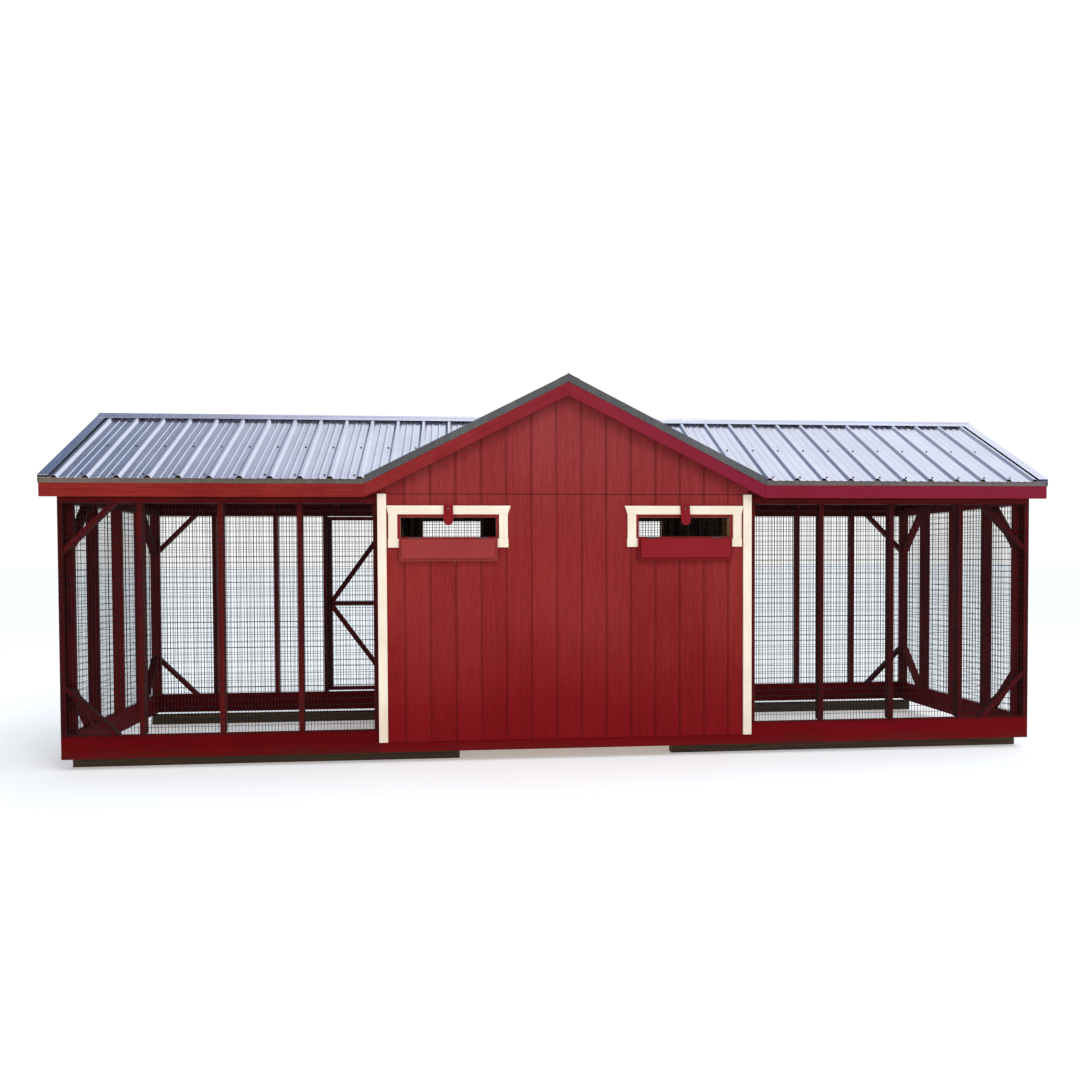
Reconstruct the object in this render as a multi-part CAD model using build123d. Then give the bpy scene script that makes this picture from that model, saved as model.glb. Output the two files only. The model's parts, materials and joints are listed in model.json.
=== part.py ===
from build123d import *
import math
import os

# Chicken coop: a closed timber hen house between two wire-mesh runs, all on four
# ground skids, under a ribbed steel roof with a cross gable over the hen house.
# Origin: centre of the footprint, on the ground. +X along the length, -Y is the
# front, +Z up. Millimetres.

# ---- driving sizes ---------------------------------------------------------
WALL_LENGTH = 7925.0      # outside of end wall to outside of end wall
WALL_DEPTH = 2438.0       # outside of front framing to outside of rear framing
HOUSE_LENGTH = 3048.0     # the closed middle part
TIMBER = 38.0             # thickness of every framing board
STUD_W = 89.0             # width of posts, studs, plates and skids
RAIL_H = 184.0            # height of the base rails
POST_H = 1810.0           # base rail top to top plate underside
RAFTER_D = 140.0          # rafter depth
EAVE_OVERHANG = 107.0     # front framing to outer face of fascia
END_OVERHANG = 92.0       # end framing to outer face of end rake board
FASCIA_H = 140.0          # vertical height of fascia and rake boards
EAVE_RISE = 114.0         # wall top to roof plane, measured at the fascia face
MAIN_SLOPE = 0.485        # rise over run of the long roof
GABLE_SLOPE = 0.505       # rise over run of the cross gable
GABLE_PAST = 94.0         # foot of each valley past the hen house wall

SIDING_T = 12.0
GROOVE_PITCH = 203.2
GROOVE_PHASE = 0.513      # first groove right of the middle, in pitches
GROOVE_W = 9.0
GROOVE_D = 4.0
SIDING_DROP = 100.0       # siding edge below the base rail top
TRIM_T = 19.0
TRIM_W = 70.0

VENT_GAP = 16.0           # vent trim clear of the corner trim
VENT_W = 764.0
VENT_H = 158.0
VENT_TOP_DROP = 110.0     # plate underside to vent hole top
VENT_REVEAL = 23.0        # siding left showing around the hole
FLAP_T = 15.0
PLUG_T = 19.0

MESH_T = 2.4
CLOTH_T = 1.6
MESH_LIFT = 0.2           # mesh plate clear of the timber it is stapled to

SHEET_T = 0.8
SHEET_LIFT = 0.9
RIB_PITCH = 228.6
RIB_H = 21.0
CAP_BEAD = 16.0
CAP_W = 92.0              # each flange of a ridge cap

KNUCKLE_R = 5.0
PIN_R = 2.4
PIN_CLEAR = 0.05          # radial running fit
LEAF_T = 1.8
GAP = 3.0                 # working gap round every door and flap
TOUCH = 0.2               # face to face clearance between bodies

# ---- derived levels and lines ----------------------------------------------
HALF_L = WALL_LENGTH / 2
HALF_D = WALL_DEPTH / 2
HOUSE_X = HOUSE_LENGTH / 2
GABLE_HALF = HOUSE_X + GABLE_PAST
TRIM_IN = VENT_W / 2 + VENT_REVEAL
TRIM_OUT = TRIM_IN + TRIM_W
VENT_X = HOUSE_X - TRIM_W - VENT_GAP - TRIM_OUT
RUN_MID = (HOUSE_X + HALF_L) / 2
INNER_Y = HALF_D - STUD_W
Z_RAIL = STUD_W
Z_SILL = Z_RAIL + RAIL_H
Z_PLATE = Z_SILL + POST_H
Z_WALL = Z_PLATE + 2 * TIMBER
Z_EAVE = Z_WALL + EAVE_RISE
EAVE_Y = HALF_D + EAVE_OVERHANG
ROOF_X = HALF_L + END_OVERHANG
VALLEY_TOP_X = GABLE_HALF - MAIN_SLOPE * EAVE_Y / GABLE_SLOPE
SIDING_Y = HALF_D + SIDING_T
TRIM_Y = SIDING_Y + TRIM_T
Z_SIDING = Z_SILL - SIDING_DROP
PURLIN_V = TIMBER * math.hypot(1, MAIN_SLOPE)
RAFTER_V = RAFTER_D * math.hypot(1, MAIN_SLOPE)
DRIP = 15.0               # sheet edge past the fascia


def z_main(y):
    """Roof plane of the long roof: purlin tops."""
    return Z_EAVE + MAIN_SLOPE * (EAVE_Y - abs(y))


def z_gable(x):
    """Roof plane of the cross gable."""
    return Z_EAVE + GABLE_SLOPE * (GABLE_HALF - abs(x))


# ---- helpers ---------------------------------------------------------------
def box(x0, x1, y0, y1, z0, z1):
    return Pos((x0 + x1) / 2, (y0 + y1) / 2, (z0 + z1) / 2) * Box(
        abs(x1 - x0), abs(y1 - y0), abs(z1 - z0))


def slab(points, push):
    """A planar 3-D polygon pushed along a vector."""
    return Solid.extrude(Face(Wire.make_polygon(points, close=True)), Vector(*push))


def prism_x(points, x0, x1):
    return slab([(x0, y, z) for y, z in points], (x1 - x0, 0, 0))


def prism_y(points, y0, y1):
    return slab([(x, y0, z) for x, z in points], (0, y1 - y0, 0))


def cyl(centre, direction, radius, length):
    return Plane(origin=centre, z_dir=direction) * Cylinder(radius, length)


def flip_x(shape):
    return mirror(shape, about=Plane.YZ)


def flip_y(shape):
    return mirror(shape, about=Plane.XZ)


def both_x(shapes):
    return list(shapes) + [flip_x(s) for s in shapes]


def both_y(shapes):
    return list(shapes) + [flip_y(s) for s in shapes]


def largest(shape):
    return max(shape.solids(), key=lambda s: s.volume)


def save(node, shapes):
    """Write one node as its separate solids."""
    solids = [solid for shape in shapes for solid in shape.solids()]
    whole = solids[0] if len(solids) == 1 else Compound(children=solids)
    export_step(whole, f"parts/{node}.step")


def grid_plate(width, height, pitch_x, pitch_z, bar):
    """Welded mesh as one plate of crossing flat bars, upright, centred, in XZ."""
    nx = max(1, round(width / pitch_x))
    nz = max(1, round(height / pitch_z))
    cell_w = (width - bar) / nx
    cell_h = (height - bar) / nz
    with BuildSketch(Plane.XZ) as sketch:
        Rectangle(width, height)
        with GridLocations(cell_w, cell_h, nx, nz):
            Rectangle(cell_w - bar, cell_h - bar, mode=Mode.SUBTRACT)
    return sketch.sketch


def mesh_y(x0, x1, z0, z1, y_near, thick, pitch=(150, 200), bar=5.0):
    """Mesh facing along Y: its near face at y_near, thickness towards +Y."""
    face = grid_plate(x1 - x0, z1 - z0, pitch[0], pitch[1], bar)
    return Pos((x0 + x1) / 2, y_near, (z0 + z1) / 2) * extrude(face, thick, dir=(0, 1, 0))


def mesh_x(y0, y1, z0, z1, x_near, thick, pitch=(150, 200), bar=5.0):
    """Mesh facing along X: its near face at x_near, thickness towards +X."""
    face = grid_plate(y1 - y0, z1 - z0, pitch[0], pitch[1], bar)
    plate = Rot(0, 0, 90) * extrude(face, thick, dir=(0, 1, 0))
    return Pos(x_near + thick, (y0 + y1) / 2, (z0 + z1) / 2) * plate


def grooved_y(x0, x1, z0, z1, y_back, side):
    """Siding panel facing side*Y with upright grooves on one common pitch."""
    y_face = y_back + side * SIDING_T
    panel = box(x0, x1, y_back, y_face, z0, z1)
    first = math.ceil((x0 + GROOVE_W) / GROOVE_PITCH - GROOVE_PHASE)
    last = math.floor((x1 - GROOVE_W) / GROOVE_PITCH - GROOVE_PHASE)
    for k in range(first, last + 1):
        x = (k + GROOVE_PHASE) * GROOVE_PITCH
        panel -= box(x - GROOVE_W / 2, x + GROOVE_W / 2, y_face - side * GROOVE_D,
                     y_face + side, z0 - 1, z1 + 1)
    return panel


def grooved_x(y0, y1, z0, z1, x_back, side):
    """Siding panel facing side*X."""
    x_face = x_back + side * SIDING_T
    panel = box(x_back, x_face, y0, y1, z0, z1)
    count = int((y1 - y0) / GROOVE_PITCH / 2)
    for k in range(-count, count + 1):
        y = k * GROOVE_PITCH
        panel -= box(x_face - side * GROOVE_D, x_face + side, y - GROOVE_W / 2,
                     y + GROOVE_W / 2, z0 - 1, z1 + 1)
    return panel


def hinge(length, leaf):
    """Butt hinge opened flat in its own frame: pin along X, leaf backs at Z = -KNUCKLE_R,
    fixed leaf towards +Y with the two outer knuckles, moving leaf towards -Y with the
    middle one. Returns fixed leaf, moving leaf and pin."""
    third = length / 3
    bore = PIN_R + PIN_CLEAR
    reach = KNUCKLE_R + 0.4

    def knuckle(x0, x1, side):
        barrel = cyl(((x0 + x1) / 2, 0, 0), (1, 0, 0), KNUCKLE_R, x1 - x0)
        tab = box(x0, x1, 0, side * (reach + 1), -KNUCKLE_R, LEAF_T - KNUCKLE_R)
        hole = cyl(((x0 + x1) / 2, 0, 0), (1, 0, 0), bore, x1 - x0 + 2)
        return barrel + tab - hole

    def plate(side):
        return box(-length / 2, length / 2, side * reach, side * leaf,
                   -KNUCKLE_R, LEAF_T - KNUCKLE_R)

    fixed = (plate(1) + knuckle(-length / 2, -third / 2 - 0.3, 1)
             + knuckle(third / 2 + 0.3, length / 2, 1))
    moving = plate(-1) + knuckle(-third / 2, third / 2, -1)
    pin = cyl((0, 0, 0), (1, 0, 0), PIN_R, length + 2)
    return fixed, moving, pin


def turn_button(half_w, above, below, thick, bore):
    """Wooden turn button in XZ: square top, round bottom, back face at Y = 0."""
    body = box(-half_w, half_w, -thick, 0, half_w - below, above)
    body += cyl((0, -thick / 2, half_w - below), (0, 1, 0), half_w, thick)
    return body - cyl((0, -thick / 2, 0), (0, 1, 0), bore, thick * 3)


os.makedirs("parts", exist_ok=True)
SIGNS = (-1, 1)

# ---- ground skids, base rails, floor ---------------------------------------
SKID_Y = HALF_D - 199.0
SKID_IN = HOUSE_X - 638.0
SKID_OUT = HALF_L - 28.5
save("skids", [box(sx * SKID_IN, sx * SKID_OUT, sy * SKID_Y - STUD_W / 2,
                   sy * SKID_Y + STUD_W / 2, 0, Z_RAIL) for sx in SIGNS for sy in SIGNS])

rails = []
for sy in SIGNS:
    y_out, y_in = sy * HALF_D, sy * (HALF_D - TIMBER)
    rails.append(box(-HOUSE_X, HOUSE_X, y_in, y_out, Z_RAIL, Z_SILL))
    for sx in SIGNS:
        rails.append(box(sx * HOUSE_X, sx * HALF_L, y_in, y_out, Z_RAIL, Z_SILL))
for sx in SIGNS:
    for x_out in (sx * HALF_L, sx * HOUSE_X):
        rails.append(box(x_out - sx * TIMBER, x_out, -HALF_D + TIMBER, HALF_D - TIMBER,
                         Z_RAIL, Z_SILL))
save("base_rails", rails)

JOISTS = 5
joist_step = (HOUSE_LENGTH - 2 * TIMBER) / (JOISTS + 1)
save("floor_joists", [
    box(x - TIMBER / 2, x + TIMBER / 2, -HALF_D + TIMBER, HALF_D - TIMBER, Z_RAIL, Z_SILL)
    for x in [(k - (JOISTS - 1) / 2) * joist_step for k in range(JOISTS)]])
FLOOR_T = 18.0
Z_FLOOR = Z_SILL + FLOOR_T
FLOOR_X = HOUSE_X - STUD_W - TOUCH
save("house_floor", [box(-FLOOR_X, FLOOR_X, -INNER_Y + TOUCH, INNER_Y - TOUCH,
                         Z_SILL, Z_FLOOR)])

# ---- wall framing ----------------------------------------------------------
POST_PITCH = 609.6
DOORPOST_X = HOUSE_X + 725.0     # rear doorpost of the left run
bays = round((HALF_L - HOUSE_X) / POST_PITCH)
inner_posts = [RUN_MID + ((bays - 2) / 2 - k) * POST_PITCH for k in range(bays - 1)]
end_posts = [HALF_L - TIMBER / 2, HOUSE_X + TIMBER / 2]
front_posts = end_posts + inner_posts
rear_left_posts = end_posts + inner_posts[:-1] + [DOORPOST_X]


def wall_post(x, side):
    return box(x - TIMBER / 2, x + TIMBER / 2, side * INNER_Y, side * HALF_D, Z_SILL, Z_PLATE)


posts = [wall_post(sx * x, -1) for sx in SIGNS for x in front_posts]
posts += [wall_post(x, 1) for x in front_posts] + [wall_post(-x, 1) for x in rear_left_posts]
save("run_posts", posts)

SIDE_STUD = INNER_Y - 521.0
side_y = [-INNER_Y + TIMBER / 2, -SIDE_STUD, 0.0, SIDE_STUD, INNER_Y - TIMBER / 2]
save("end_studs", [box(sx * (HALF_L - STUD_W), sx * HALF_L, y - TIMBER / 2, y + TIMBER / 2,
                       Z_SILL, Z_PLATE) for sx in SIGNS for y in side_y])

plates = []
for layer in range(2):
    z0 = Z_PLATE + layer * TIMBER
    plates += [box(-HALF_L, HALF_L, sy * INNER_Y, sy * HALF_D, z0, z0 + TIMBER)
               for sy in SIGNS]
    for sx in SIGNS:
        for x_out in (sx * HALF_L, sx * HOUSE_X):
            plates.append(box(x_out - sx * STUD_W, x_out, -INNER_Y, INNER_Y,
                              z0, z0 + TIMBER))
save("top_plates", plates)

# Knee braces: 45 degree struts in the corner bays, top and bottom.
BRACE_LEG = 400.0
brace_cut = TIMBER * math.sqrt(2)


def brace_points(corner, inward, level, up):
    """Outline of one brace in the wall plane, its legs on the post and on the rail."""
    return [(corner + inward * BRACE_LEG, level),
            (corner + inward * (BRACE_LEG - brace_cut), level),
            (corner, level + up * (BRACE_LEG - brace_cut)),
            (corner, level + up * BRACE_LEG)]


braces = []
for level, up in ((Z_SILL, 1), (Z_PLATE, -1)):
    for sx in SIGNS:
        x_corner = sx * (HALF_L - TIMBER)
        outline = brace_points(x_corner, -sx, level, up)
        braces += [prism_y(outline, sy * (INNER_Y + 20), sy * (HALF_D - TOUCH))
                   for sy in SIGNS]
        for sy in SIGNS:
            outline = brace_points(sy * (INNER_Y - TIMBER), -sy, level, up)
            braces.append(prism_x(outline, sx * (HALF_L - STUD_W + 20),
                                  sx * (HALF_L - TOUCH)))
save("knee_braces", braces)

# Hen house studs, unpainted: front and rear walls, then the two partition walls.
WIN_TOP = Z_PLATE - 53.0
WIN_H = 450.0
DOOR_X = 381.0
ROOST_STUD = VENT_X + VENT_W / 2 + TIMBER / 2
VENT_STUD = VENT_X - VENT_W / 2 - TIMBER / 2
CORNER_STUD = HOUSE_X - TIMBER / 2
WIN_IN = DOOR_X + 276.0
WIN_OUT = ROOST_STUD - 107.0
studs = [wall_post(0, -1)]
for x in (VENT_STUD, ROOST_STUD, CORNER_STUD):
    studs += [wall_post(sx * x, -1) for sx in SIGNS]
for x in (DOOR_X + TIMBER / 2, WIN_IN - TIMBER / 2, WIN_OUT + TIMBER / 2, ROOST_STUD,
          CORNER_STUD):
    studs += [wall_post(sx * x, 1) for sx in SIGNS]

POP_HALF, POP_H = 160.0, 360.0
Z_POP = Z_FLOOR + 12
part_y = [POP_HALF + TIMBER / 2, INNER_Y - 480.0, INNER_Y - TIMBER / 2]
for sx in SIGNS:
    x0, x1 = sx * (HOUSE_X - STUD_W), sx * HOUSE_X
    studs += [box(x0, x1, sy * y - TIMBER / 2, sy * y + TIMBER / 2, Z_SILL, Z_PLATE)
              for sy in SIGNS for y in part_y]
    studs.append(box(x0, x1, -POP_HALF, POP_HALF, Z_SILL, Z_POP))
    studs.append(box(x0, x1, -POP_HALF, POP_HALF, Z_POP + POP_H, Z_POP + POP_H + TIMBER))

VENT_Z1 = Z_PLATE - VENT_TOP_DROP
VENT_Z0 = VENT_Z1 - VENT_H
for sx in SIGNS:
    v0, v1 = sx * (VENT_X - VENT_W / 2), sx * (VENT_X + VENT_W / 2)
    for z in (VENT_Z0 - TIMBER, VENT_Z1):
        studs.append(box(v0, v1, -HALF_D, -INNER_Y, z, z + TIMBER))
    studs.append(box(sx * (WIN_IN - TIMBER), sx * WIN_IN, -HALF_D, -INNER_Y, Z_SILL,
                     VENT_Z0 - TIMBER))
    for z in (WIN_TOP - WIN_H - TIMBER, WIN_TOP):
        studs.append(box(sx * WIN_IN, sx * WIN_OUT, INNER_Y, HALF_D, z, z + TIMBER))
DOOR_TOP = Z_PLATE - 90.0
studs.append(box(-DOOR_X, DOOR_X, INNER_Y, HALF_D, DOOR_TOP, DOOR_TOP + TIMBER))
save("house_studs", studs)

# ---- wire mesh -------------------------------------------------------------
MESH_LAP = 20.0
MESH_Z = (Z_SILL - MESH_LAP, Z_PLATE + MESH_LAP)
MESH_OUT = HALF_L - 6
MESH_IN = HOUSE_X + 10
front_y = -HALF_D - MESH_LIFT - MESH_T
rear_y = HALF_D + MESH_LIFT
save("mesh_front", both_x([mesh_y(MESH_IN, MESH_OUT, *MESH_Z, front_y, MESH_T)]))
save("mesh_rear", [mesh_y(MESH_IN, MESH_OUT, *MESH_Z, rear_y, MESH_T),
                   mesh_y(-MESH_OUT, -DOORPOST_X - 4, *MESH_Z, rear_y, MESH_T)])
save("mesh_ends", both_x([mesh_x(-HALF_D + 6, HALF_D - 6, *MESH_Z,
                                 HALF_L + MESH_LIFT, MESH_T)]))
vent_cloth = mesh_y(VENT_X - VENT_W / 2 - 15, VENT_X + VENT_W / 2 + 15, VENT_Z0 - 15,
                    VENT_Z1 + 15, -INNER_Y + MESH_LIFT, CLOTH_T, (75, 60), 3.0)
window_cloth = mesh_y(WIN_IN - 15, WIN_OUT + 15, WIN_TOP - WIN_H - 15, WIN_TOP + 15,
                      INNER_Y - MESH_LIFT - CLOTH_T, CLOTH_T, (100, 100), 3.0)
save("hardware_cloth", both_x([vent_cloth, window_cloth]))

# ---- siding ----------------------------------------------------------------
SEAM_A = (GROOVE_PHASE - 5) * GROOVE_PITCH
SEAM_B = (GROOVE_PHASE + 1) * GROOVE_PITCH
SEAM_GAP = 0.5
vent_holes = [box(sx * (VENT_X - VENT_W / 2), sx * (VENT_X + VENT_W / 2), -SIDING_Y - 5,
                  -HALF_D + 5, VENT_Z0, VENT_Z1) for sx in SIGNS]
seam_grooves = [box(x - GROOVE_W / 2, x + GROOVE_W / 2, -SIDING_Y - 1, -SIDING_Y + GROOVE_D,
                    Z_SIDING - 1, Z_WALL + 1) for x in (SEAM_A, SEAM_B)]
front_siding = []
for x0, x1 in ((-HOUSE_X, SEAM_A - SEAM_GAP), (SEAM_A, SEAM_B - SEAM_GAP), (SEAM_B, HOUSE_X)):
    panel = grooved_y(x0, x1, Z_SIDING, Z_WALL, -HALF_D, -1)
    for cut in vent_holes + seam_grooves:
        panel -= cut
    front_siding.append(panel)
save("siding_front", front_siding)

rear_panel = grooved_y(DOOR_X, HOUSE_X, Z_SIDING, Z_WALL, HALF_D, 1)
rear_panel -= box(WIN_IN, WIN_OUT, HALF_D - 5, SIDING_Y + 5, WIN_TOP - WIN_H, WIN_TOP)
save("siding_rear", both_x([rear_panel]) + [
    grooved_y(-DOOR_X + SEAM_GAP, DOOR_X - SEAM_GAP, z0, z1, HALF_D, 1)
    for z0, z1 in ((DOOR_TOP, Z_WALL), (Z_SIDING, Z_SILL))])

pop_hole = box(HOUSE_X - 5, HOUSE_X + SIDING_T + 5, -POP_HALF, POP_HALF, Z_POP, Z_POP + POP_H)
side_panel = grooved_x(-INNER_Y, INNER_Y, Z_SILL, Z_PLATE, HOUSE_X, 1) - pop_hole
save("partition_siding", both_x([side_panel]))

save("corner_trims", [box(sx * (HOUSE_X - TRIM_W), sx * HOUSE_X, sy * SIDING_Y, sy * TRIM_Y,
                          Z_SIDING, Z_WALL) for sx in SIGNS for sy in SIGNS])

# ---- vent trim, flaps, hinges and turn buttons -----------------------------
HEAD_Z0 = VENT_Z1 + VENT_REVEAL
HEAD_Z1 = HEAD_Z0 + TRIM_W
FOOT_Z1 = VENT_Z0 - 14
FOOT_Z0 = FOOT_Z1 - TRIM_W
FLARE = 24.0
trim = []
for sx in SIGNS:
    c = sx * VENT_X
    flare_in = min(FLARE, VENT_GAP - TOUCH)
    left = FLARE if sx > 0 else flare_in
    right = flare_in if sx > 0 else FLARE
    header = [(c - TRIM_OUT, HEAD_Z0), (c + TRIM_OUT, HEAD_Z0),
              (c + TRIM_OUT + right, HEAD_Z1), (c - TRIM_OUT - left, HEAD_Z1)]
    trim.append(prism_y(header, -TRIM_Y, -SIDING_Y))
    trim += [box(c + side * TRIM_IN, c + side * TRIM_OUT, -SIDING_Y, -TRIM_Y,
                 FOOT_Z1, HEAD_Z0) for side in SIGNS]
    trim.append(box(c - TRIM_OUT - 4, c + TRIM_OUT + 4, -SIDING_Y, -TRIM_Y,
                    FOOT_Z0, FOOT_Z1))
save("vent_trim", trim)

HINGE_L, HINGE_LEAF = 86.0, 17.0
HINGE_SPAN = 270.0        # vent centre to hinge centre
AXIS_Z = FOOT_Z1 + KNUCKLE_R
AXIS_Y = -TRIM_Y + 0.5
FLAP_TOP = FOOT_Z1
FLAP_LEN = HEAD_Z0 - GAP - AXIS_Z
FLAP_HALF = TRIM_IN - 13
PLUG_HALF = VENT_W / 2 - 12
PLUG_NEAR = 10.0          # plug edges measured from the hinge line
PLUG_FAR = VENT_Z1 - AXIS_Z - 5
flap_y0 = AXIS_Y - 2.5
flap_y1 = flap_y0 - FLAP_T
flaps = {}
for name, sx in (("left", -1), ("right", 1)):
    c = sx * VENT_X
    flaps[name] = [
        box(c - FLAP_HALF, c + FLAP_HALF, flap_y1, flap_y0, AXIS_Z - FLAP_LEN, FLAP_TOP),
        box(c - PLUG_HALF, c + PLUG_HALF, flap_y1 - PLUG_T, flap_y1, AXIS_Z - PLUG_FAR,
            AXIS_Z - PLUG_NEAR)]
    save(f"vent_flap_{name}", flaps[name])

fixed_leaf, moving_leaf, hinge_pin = hinge(HINGE_L, HINGE_LEAF)
fixed_leaves, pins = [], []
for name, sx in (("left", -1), ("right", 1)):
    seats = [Pos(sx * VENT_X + side * HINGE_SPAN, AXIS_Y, AXIS_Z) for side in SIGNS]
    fixed_leaves += [seat * fixed_leaf for seat in seats]
    pins += [seat * hinge_pin for seat in seats]
    save(f"vent_leaves_{name}", [seat * moving_leaf for seat in seats])

BTN_HALF, BTN_T = 38.0, 15.0
BTN_UP, BTN_DOWN = 28.0, 134.0
BTN_BORE = 4.0
BTN_Z = HEAD_Z1 - 24
BTN_TILT = 3.5            # the right-hand button rests a little off plumb
BTN_OFF = 0.9             # turn buttons stand this far off what they cover
BTN_Y = -TRIM_Y - BTN_OFF
button = turn_button(BTN_HALF, BTN_UP, BTN_DOWN, BTN_T, BTN_BORE)
save("turn_button_left", [Pos(-VENT_X, BTN_Y, BTN_Z) * button])
save("turn_button_right", [Pos(VENT_X, BTN_Y, BTN_Z) * (Rot(0, -BTN_TILT, 0) * button)])


def button_screw(stand_off):
    """Round-head screw on which a turn button pivots, its head towards -Y, its shank
    running stand_off past the button's back to the timber."""
    reach = BTN_T + 0.5 + stand_off
    shank = cyl((0, stand_off - reach / 2, 0), (0, 1, 0), BTN_BORE - 0.05, reach)
    head = cyl((0, -BTN_T - 2.2, 0), (0, 1, 0), 8.0, 3.0)
    return shank + head


pivots = [Pos(sx * VENT_X, BTN_Y, BTN_Z) * button_screw(BTN_OFF) for sx in SIGNS]

# ---- run door in the rear wall of the left run -----------------------------
RD_X0 = -DOORPOST_X + TIMBER / 2 + GAP
RD_X1 = -HOUSE_X - TIMBER - GAP
RD_Z0, RD_Z1 = Z_SILL + 14, Z_PLATE - 5
RD_Y0 = HALF_D - TIMBER
MID = (RD_Z0 + RD_Z1) / 2
frame = [box(RD_X0, RD_X0 + TIMBER, RD_Y0, HALF_D, RD_Z0, RD_Z1),
         box(RD_X1 - TIMBER, RD_X1, RD_Y0, HALF_D, RD_Z0, RD_Z1)]
for z0 in (RD_Z0, MID - TIMBER / 2, RD_Z1 - TIMBER):
    frame.append(box(RD_X0 + TIMBER, RD_X1 - TIMBER, RD_Y0, HALF_D, z0, z0 + TIMBER))
save("run_door_frame", frame)

door_in0, door_in1 = RD_X0 + TIMBER, RD_X1 - TIMBER
strut = 46.0              # brace width measured along the rail
rise = RD_Z1 - TIMBER - (MID + TIMBER / 2)
door_braces = []
for up in (1, -1):
    z_a = MID + up * TIMBER / 2
    outline = [(door_in0, z_a), (door_in0 + strut * 0.55, z_a),
               (door_in1, z_a + up * (rise - strut * 1.4)), (door_in1, z_a + up * rise),
               (door_in1 - strut * 0.25, z_a + up * rise), (door_in0, z_a + up * strut)]
    door_braces.append(prism_y(outline, RD_Y0 + 2, HALF_D - 2))
save("run_door_braces", door_braces)
save("run_door_mesh", [mesh_y(door_in0 - 10, door_in1 + 10, RD_Z0 + TIMBER - 10,
                              RD_Z1 - TIMBER + 10, rear_y, MESH_T)])

# ---- hen house door in the rear wall ---------------------------------------
HD_X0, HD_X1 = -DOOR_X + GAP, DOOR_X - GAP
HD_Z0, HD_Z1 = Z_FLOOR + GAP, DOOR_TOP - GAP
HD_Y0 = SIDING_Y - 36
save("house_door_slab", [box(HD_X0, HD_X1, HD_Y0, SIDING_Y, HD_Z0, HD_Z1)])
BOARD = 90.0
boards = [box(HD_X0, HD_X0 + BOARD, SIDING_Y, TRIM_Y, HD_Z0, HD_Z1),
          box(HD_X1 - BOARD, HD_X1, SIDING_Y, TRIM_Y, HD_Z0, HD_Z1)]
hd_mid = (HD_Z0 + HD_Z1) / 2
for z in (HD_Z0, hd_mid - BOARD / 2, HD_Z1 - BOARD):
    boards.append(box(HD_X0 + BOARD, HD_X1 - BOARD, SIDING_Y, TRIM_Y, z, z + BOARD))
save("house_door_boards", boards)

CASING = 76.0
casing = [box(sx * DOOR_X, sx * (DOOR_X + CASING), SIDING_Y, TRIM_Y, Z_SIDING,
              DOOR_TOP + CASING) for sx in SIGNS]
casing.append(box(-DOOR_X, DOOR_X, SIDING_Y, TRIM_Y, DOOR_TOP, DOOR_TOP + CASING))
win_z0 = WIN_TOP - WIN_H
for sx in SIGNS:
    x_in, x_out = sx * WIN_IN, sx * WIN_OUT
    for z0, z1 in ((win_z0 - TRIM_W, win_z0), (WIN_TOP, WIN_TOP + TRIM_W)):
        casing.append(box(sx * (WIN_IN - TRIM_W), sx * (WIN_OUT + TRIM_W), SIDING_Y, TRIM_Y,
                          z0, z1))
    for x0, x1 in ((x_in - sx * TRIM_W, x_in), (x_out, x_out + sx * TRIM_W)):
        casing.append(box(x0, x1, SIDING_Y, TRIM_Y, win_z0, WIN_TOP))
save("rear_casing", casing)

# Door hinges: pins upright, leaves flat on the outer faces. The fixed leaf of the
# run door lies towards +X, that of the hen house door towards -X.
DOOR_HINGE_L, DOOR_LEAF = 100.0, 24.0
d_fixed, d_moving, d_pin = hinge(DOOR_HINGE_L, DOOR_LEAF)
run_axis_x = RD_X1 + GAP / 2
house_axis_x = HD_X0 - GAP / 2
to_run = Plane(origin=(0, 0, 0), x_dir=(0, 0, 1), z_dir=(0, 1, 0))
to_house = Plane(origin=(0, 0, 0), x_dir=(0, 0, -1), z_dir=(0, 1, 0))
run_seats = [Pos(run_axis_x, HALF_D + KNUCKLE_R + TOUCH, z)
             for z in (RD_Z0 + 250, RD_Z1 - 250)]
house_seats = [Pos(house_axis_x, TRIM_Y + KNUCKLE_R + TOUCH, z)
               for z in (HD_Z0 + 250, HD_Z1 - 250)]
for seats, turn in ((run_seats, to_run), (house_seats, to_house)):
    fixed_leaves += [seat * (turn * d_fixed) for seat in seats]
    pins += [seat * (turn * d_pin) for seat in seats]
save("run_door_leaves", [seat * (to_run * d_moving) for seat in run_seats])
save("house_door_leaves", [seat * (to_house * d_moving) for seat in house_seats])
save("fixed_leaves", fixed_leaves)
save("hinge_pins", pins)

# Door turn buttons stand upright beside the doors and turn a quarter to hold them.
DB_HALF, DB_UP, DB_DOWN = 13.0, 17.0, 70.0
door_button = turn_button(DB_HALF, DB_UP, DB_DOWN, BTN_T, BTN_BORE)
back = Rot(0, 0, 180)
RUN_OFF = MESH_LIFT + 2 * MESH_T + 0.6
run_btn = Pos(-DOORPOST_X + 8, HALF_D + RUN_OFF, MID)
house_btn = Pos(DOOR_X + CASING / 2, TRIM_Y + BTN_OFF, hd_mid)
save("run_door_button", [run_btn * (back * door_button)])
save("house_door_button", [house_btn * (back * door_button)])
pivots += [run_btn * (back * button_screw(RUN_OFF)),
           house_btn * (back * button_screw(BTN_OFF))]
save("button_screws", pivots)


def pull_handle(x, y, z):
    """Wooden grab block with a finger bar, standing off a door face towards +Y."""
    feet = [box(x - 11, x + 11, y, y + 26, z + s * 60 - 11, z + s * 60 + 11) for s in SIGNS]
    return box(x - 11, x + 11, y + 26, y + 44, z - 71, z + 71) + feet[0] + feet[1]


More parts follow.
